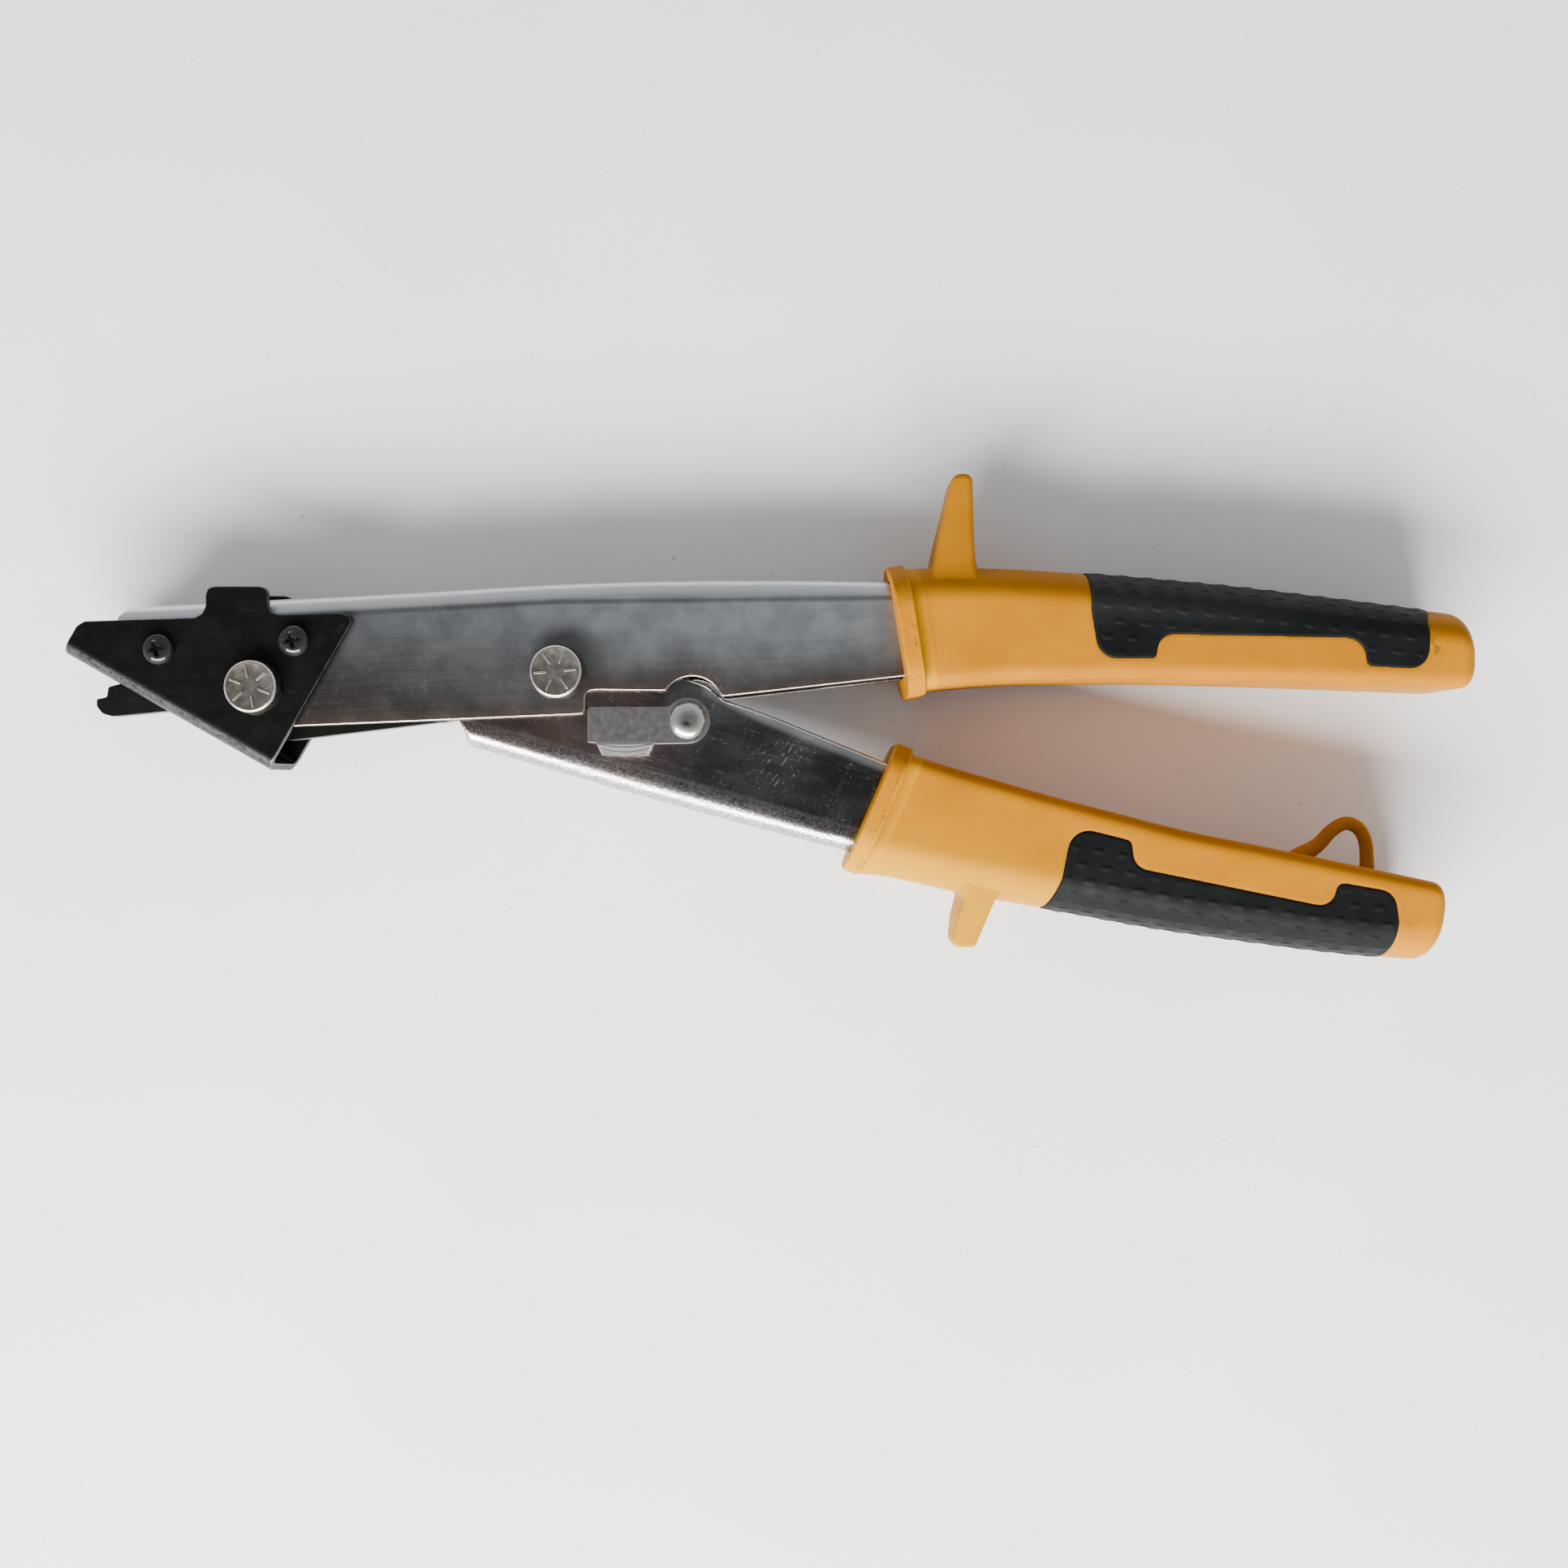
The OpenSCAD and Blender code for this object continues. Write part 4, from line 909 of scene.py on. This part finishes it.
outline = [(-95.6, -5.1), (-93.5, -4.7), (-93.2, -2.6), (-91, -2), (-78, 1.6), (-70, 4.6), (-60, 6.2),
           (-48, 6), (-26, 5.2), (-21.5, 4), (-20, 1.5), (-20, -9.3), (-55.6, -13.6), (-61, -13.4),
           (-66, -11.6), (-71, -8.6), (-80, -7.5), (-92.4, -8.7), (-94.4, -8.1), (-95.6, -6.6)]
blade = prism("punch", soften(outline, 0.25), MID - BLADE_THICK / 2, MID + BLADE_THICK / 2)
drill(blade, FRONT, SLEEVE_R)
way = DRIVE_PIN - FRONT[:2]
play = way / np.linalg.norm(way) * SLOT_PLAY
boolean(blade, prism("slot", stadium(DRIVE_PIN - play, DRIVE_PIN + play, SLOT_R), *THROUGH))
clean(blade)
round_edges(blade, 0.18)
place(blade, "blade", "punch_blade", BLADE_BLACK)


# ---------------- bolts, nuts, screws, rivet
def hexagon(name, centre, z0, levels, turn, steps=120):
    """A hexagon whose corners are turned off; levels are (height, turned radius, flats factor)."""
    phi = (np.linspace(0, 360, steps, endpoint=False) - turn) % 60 - 30
    sides = HEX_FLATS / 2 / np.cos(np.radians(phi))
    return turned(name, centre, [(np.minimum(sides * share, r), z0 + h) for h, r, share in levels], steps)


def capsule(name, centre, angle, near, far, half, z, high):
    """A small raised bar that points away from a centre, from radius near to far."""
    d = rotate((1, 0), angle)
    a, b = centre[:2] + d * (near + half), centre[:2] + d * (far - half)
    return stack(name, [(stadium(a, b, half * grow, 7), z + h) for grow, h in
                        ((1.0, -0.1), (1.0, high * 0.45), (0.8, high * 0.85), (0.35, high))])


def thread(name, centre, z_low, z_high):
    """A bolt's end with the ridges of its thread."""
    pitch, deep, tip = 1.27, 0.34, 0.6
    profile = [(SHANK_R - tip, z_low), (SHANK_R - 0.12, z_low + tip)]
    z = z_low + tip
    while z + pitch < z_high:
        profile += [(SHANK_R - deep, z + 0.42 * pitch), (SHANK_R - deep, z + 0.55 * pitch),
                    (SHANK_R - 0.02, z + 0.93 * pitch), (SHANK_R - 0.02, z + pitch)]
        z += pitch
    return turned(name, centre, profile + [(SHANK_R, z_high)], 40)


def bolt(name, centre, seat, tip, turn, node):
    """Hexagon head with its turned chamfer and six raised marks, and the shank with its thread."""
    high, flat = HEAD_HEIGHT, HEX_FLATS / 2
    top = seat + high
    levels = [(0, flat + 0.3, 1), (0.5 * high, flat + 0.12, 1), (0.74 * high, flat, 1),
              (0.86 * high, flat - 0.08, 0.995), (0.94 * high, flat - 0.22, 0.985),
              (0.985 * high, flat - 0.42, 0.96), (high, flat - 0.62, 0.94),
              (high - 0.02, flat - 0.78, 0.92), (high - 0.08, flat - 0.98, 0.9),
              (high - 0.10, 2.0, 0.6), (high - 0.10, 0.6, 0.5)]
    marks = [capsule("mark", centre, angle + turn, 1.75, 4.35, 0.25, top - 0.10, 0.26)
             for angle in range(5, 365, 60)]
    ob = join(name, hexagon("head", centre, seat, levels, turn),
              thread("shank", centre, tip, seat + 0.01), *marks)

    def bright(c, n):
        """The chamfer of the head and the tops of its marks, which take the far lighter bolt steel as a
        painted highlight.
        """
        r, below = math.dist(c[:2], centre[:2]), top - c[2]
        return (flat - 0.64 < r < flat - 0.14 and below < 0.40) or (r < flat - 1.0 and below < 0.085)

    two_coats(ob, BOLT_STEEL, BOLT_HIGHLIGHT, bright)
    place(ob, "body", node, sharp=28)


def nut(name, centre, top, high, node):
    flat, low = HEX_FLATS / 2, top - high
    levels = [(0, 3.3, 1), (0, flat - 0.35, 1), (0.12 * high, flat + 0.1, 1),
              (0.3 * high, flat + 0.95, 1), (0.999 * high, flat + 0.95, 1), (high, 3.3, 1)]
    ob = hexagon(name, centre, low, levels, 10)
    boolean(ob, turned("hole", centre, [(SHANK_R + 0.5, low - 1), (SHANK_R + 0.45, low),
                                        (BOLT_HOLE_R, low + 0.5), (BOLT_HOLE_R, top + 1)], 48))
    place(ob, "body", node, BOLT_STEEL, sharp=28)


bolt("front_hex_bolt", FRONT, MID + BODY_HALF + DIE_SHEET, 0.0, 36, "front_bolt")
bolt("pivot_hex_bolt", (0, 0), MID + BODY_HALF, 1.0, 0, "pivot_bolt")
nut("front_hex_nut", FRONT, MID - BODY_HALF - DIE_SHEET, 4.8, "front_nut")
nut("pivot_hex_nut", (0, 0), MID - BODY_HALF, 5.5, "pivot_nut")


def screw(name, centre, side):
    """Pan head with a tapered cross recess; side is 1 towards +Z."""
    seat = MID + side * (BODY_HALF + DIE_SHEET)
    profile = [(1.9, -3.5), (1.9, -0.01), (3.1, 0), (3.15, 0.25), (3.12, 0.7), (2.95, 1.15), (2.6, 1.55),
               (2.1, 1.85), (1.4, 2.03), (0.7, 2.09), (0.05, 2.1)]
    head = turned(name, centre, [(r, seat + side * h) for r, h in profile], 56)
    for angle in (12, 102):
        boolean(head, stack("slot", [
            (centre + rotate([(a, b), (-a, b), (-a, -b), (a, -b)], angle), seat + side * h)
            for a, b, h in ((0.85, 0.30, 0.75), (2.05, 0.50, 2.6))]))
    clean(head, 0.05)
    return round_edges(head, 0.07, 2, 50)


ob = join("pan_screws", *[screw("screw", p, side) for p in SCREWS for side in (1, -1)])
place(ob, "body", "die_screws", SCREW_BLACK, sharp=35)

top = LATCH_TOP + 0.06
under = MID + LEVER_HALF - LEVER_SHEET
dome = [(3.68 * math.cos(a), top + 0.16 + 1.41 * math.sin(a)) for a in np.radians(range(4, 87, 5))]
ob = turned("latch_rivet_head", LATCH, [
    (3.0, MID + 1.9), (3.0, under - 0.04), (1.9, under - 0.03), (1.9, top + 0.05), (3.5, top),
    (3.66, top + 0.10), *dome, (0.05, top + 1.57)], 72)
place(ob, "lever", "latch_rivet", RIVET_STEEL, sharp=50)

# ---------------- latch
outline = ([(5.9, -14.2), (5.9, -7.15), (6.4, -6.9), (22.3, -6.9)] + arc(LATCH, LATCH_END_R, 142, -88)
           + [(19.6, -14.5), (7.8, -14.5), (7.2, -14.2)])
plate = prism("plate", soften(outline, 0.3), LATCH_LOW, LATCH_TOP)
drill(plate, LATCH, SCREW_R)
clean(plate)
round_edges(plate, 0.2)


def thumb_tab(name):
    """Lip bent outwards, with curved ribs across it."""
    across, along = 49, 41
    u, v = np.meshgrid(np.linspace(-1, 1, across), np.linspace(0, 1, along), indexing="ij")
    x = 13.6 + u * (6.0 - 1.5 * np.clip((v - 0.12) / 0.88, 0, 1) ** 0.9)
    y = -13.9 - 3.2 * v + 0.28 * v * u ** 2
    rise = 1.75 * v ** 1.2
    bow = v * 3.55 - 0.75 * (1 - u ** 2)
    ribs = (0.10 * np.sin(bow * 2 * math.pi / 1.12) * np.clip(v * 5 - 0.5, 0, 1)
            * np.clip((1 - abs(u)) * 8, 0, 1))
    skin = np.stack([x, y, LATCH_TOP + rise + ribs], -1)
    under = np.stack([x, y + 0.12, LATCH_LOW + 0.02 + rise * 0.93], -1)
    n = 2 * along
    faces = rows_to_faces(across, n, caps=False)
    for end in (0, (across - 1) * n):
        faces += [(end + j, end + j + 1, end + n - 2 - j, end + n - 1 - j) for j in range(along - 1)]
    return new_object(name, np.concatenate([skin, under[:, ::-1]], 1).reshape(-1, 3), faces)


latch = join("latch_plate_stamped", plate, thumb_tab("tab"))
# the thumb tab, below y -14.62, takes the lighter latch steel as a painted highlight
two_coats(latch, LATCH_STEEL, LATCH_TAB_HIGHLIGHT, lambda c, n: c[1] < -14.62)
place(latch, "latch", "latch_plate", sharp=40)

# ---------------- opening spring
WIRE_R, COIL_R, TURNS, RISE = 0.6, 6.0, 3, 1.45
s = np.linspace(0, 1, 200)
sweep = 360 * TURNS + 175
low = MID - RISE * (TURNS + 0.5) / 2
high = low + RISE * sweep / 360
a = np.radians(250 + sweep * s)
coil = np.column_stack([COIL_R * np.cos(a), COIL_R * np.sin(a), low + (high - low) * s])
spring = tube("opening_spring_wire", np.vstack([
    [(24, -21.6, low), (14, -15.6, low), (4, -9.4, low)], coil,
    [(9, 9.6, high), (17, 13.6, high), (25, 16.2, high)]]), WIRE_R, 12)
shade(spring, 32)
spring.data.materials.append(SPRING_STEEL)
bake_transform(spring)
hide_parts("opening_spring")

# ---------------- CAD parts that stay as they are
for node in ("blade_sleeve", "blade_spacers", "pivot_sleeve", "drive_pin", "drive_washers"):
    ob = frame["nodes"][node]
    ob.data.materials.clear()
    ob.data.materials.append(SLEEVE_STEEL)

# ---------------- floor, light, camera
CAMERA_X, CAMERA_Y, CAMERA_HEIGHT = 45.76, -22.57, 347.5
LENS, SENSOR = 36.941, 36.0
FLOOR_HALF, FLOOR_DROP = 4, 5e-5


def pale_floor():
    p = Paint("pale_floor")
    p.color = p.between(p.noise(120), (0.80, 0.80, 0.806), (0.85, 0.85, 0.856))
    p.coat(p.ramp(p.noise(0.9, detail=0, offset=31), 0.87, 0.90), (0.25, 0.23, 0.22), 0.6)
    p.coat(p.scratches((44, 80, 0.3, 12, 0.08)), (0.5, 0.5, 0.5), 0.12)
    p.bump(p.noise(1.2, offset=3), 0.01, 0.3)
    return p.surface(p.between(p.noise(20), 0.5, 0.6), Specular_IOR_Level=0.25)


mesh = bpy.data.meshes.new("floor")
mesh.from_pydata([(x * FLOOR_HALF, y * FLOOR_HALF, -FLOOR_DROP)
                  for x, y in ((-1, -1), (1, -1), (1, 1), (-1, 1))], [], [(0, 1, 2, 3)])
floor = link_object("floor", mesh)
floor.data.materials.append(pale_floor())
floor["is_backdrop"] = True

light = bpy.data.lights.new("window", "AREA")
light.shape, light.size, light.size_y = "RECTANGLE", 1.3, 0.45
light.energy, light.color = 62.0, (1.0, 0.99, 0.975)
window = link_object("window", light)
window.location = (-0.22, -0.82, 0.60)
window.rotation_mode = "QUATERNION"
window.rotation_quaternion = (Vector((0.02, 0, 0)) - window.location).to_track_quat("-Z", "Y")

world = bpy.data.worlds.new("studio")
bpy.context.scene.world = world
world.use_nodes = True
tree = world.node_tree
background = tree.nodes["Background"]
coords, split, ramp = [tree.nodes.new("ShaderNode" + kind)
                       for kind in ("TexCoord", "SeparateXYZ", "ValToRGB")]
for a, b in ((coords.outputs["Generated"], split.inputs[0]), (split.outputs["Z"], ramp.inputs["Fac"]),
             (ramp.outputs["Color"], background.inputs["Color"])):
    tree.links.new(a, b)
stops = ramp.color_ramp.elements
stops[0].color, stops[1].color = (0.80, 0.80, 0.81, 1), (0.22, 0.22, 0.225, 1)
for at, tone in ((0.45, (0.86, 0.87, 0.90)), (0.80, (0.62, 0.63, 0.65)), (0.93, (0.30, 0.30, 0.31))):
    stops.new(at).color = (*tone, 1)

camera = link_object("camera", bpy.data.cameras.new("camera"))
camera.data.sensor_width, camera.data.lens = SENSOR, LENS
camera.data.clip_start, camera.data.clip_end = 0.01, 20
camera.location = ((PIVOT[0] + CAMERA_X) * MM, (PIVOT[1] + CAMERA_Y) * MM, CAMERA_HEIGHT * MM)
bpy.context.scene.camera = camera

low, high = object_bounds()
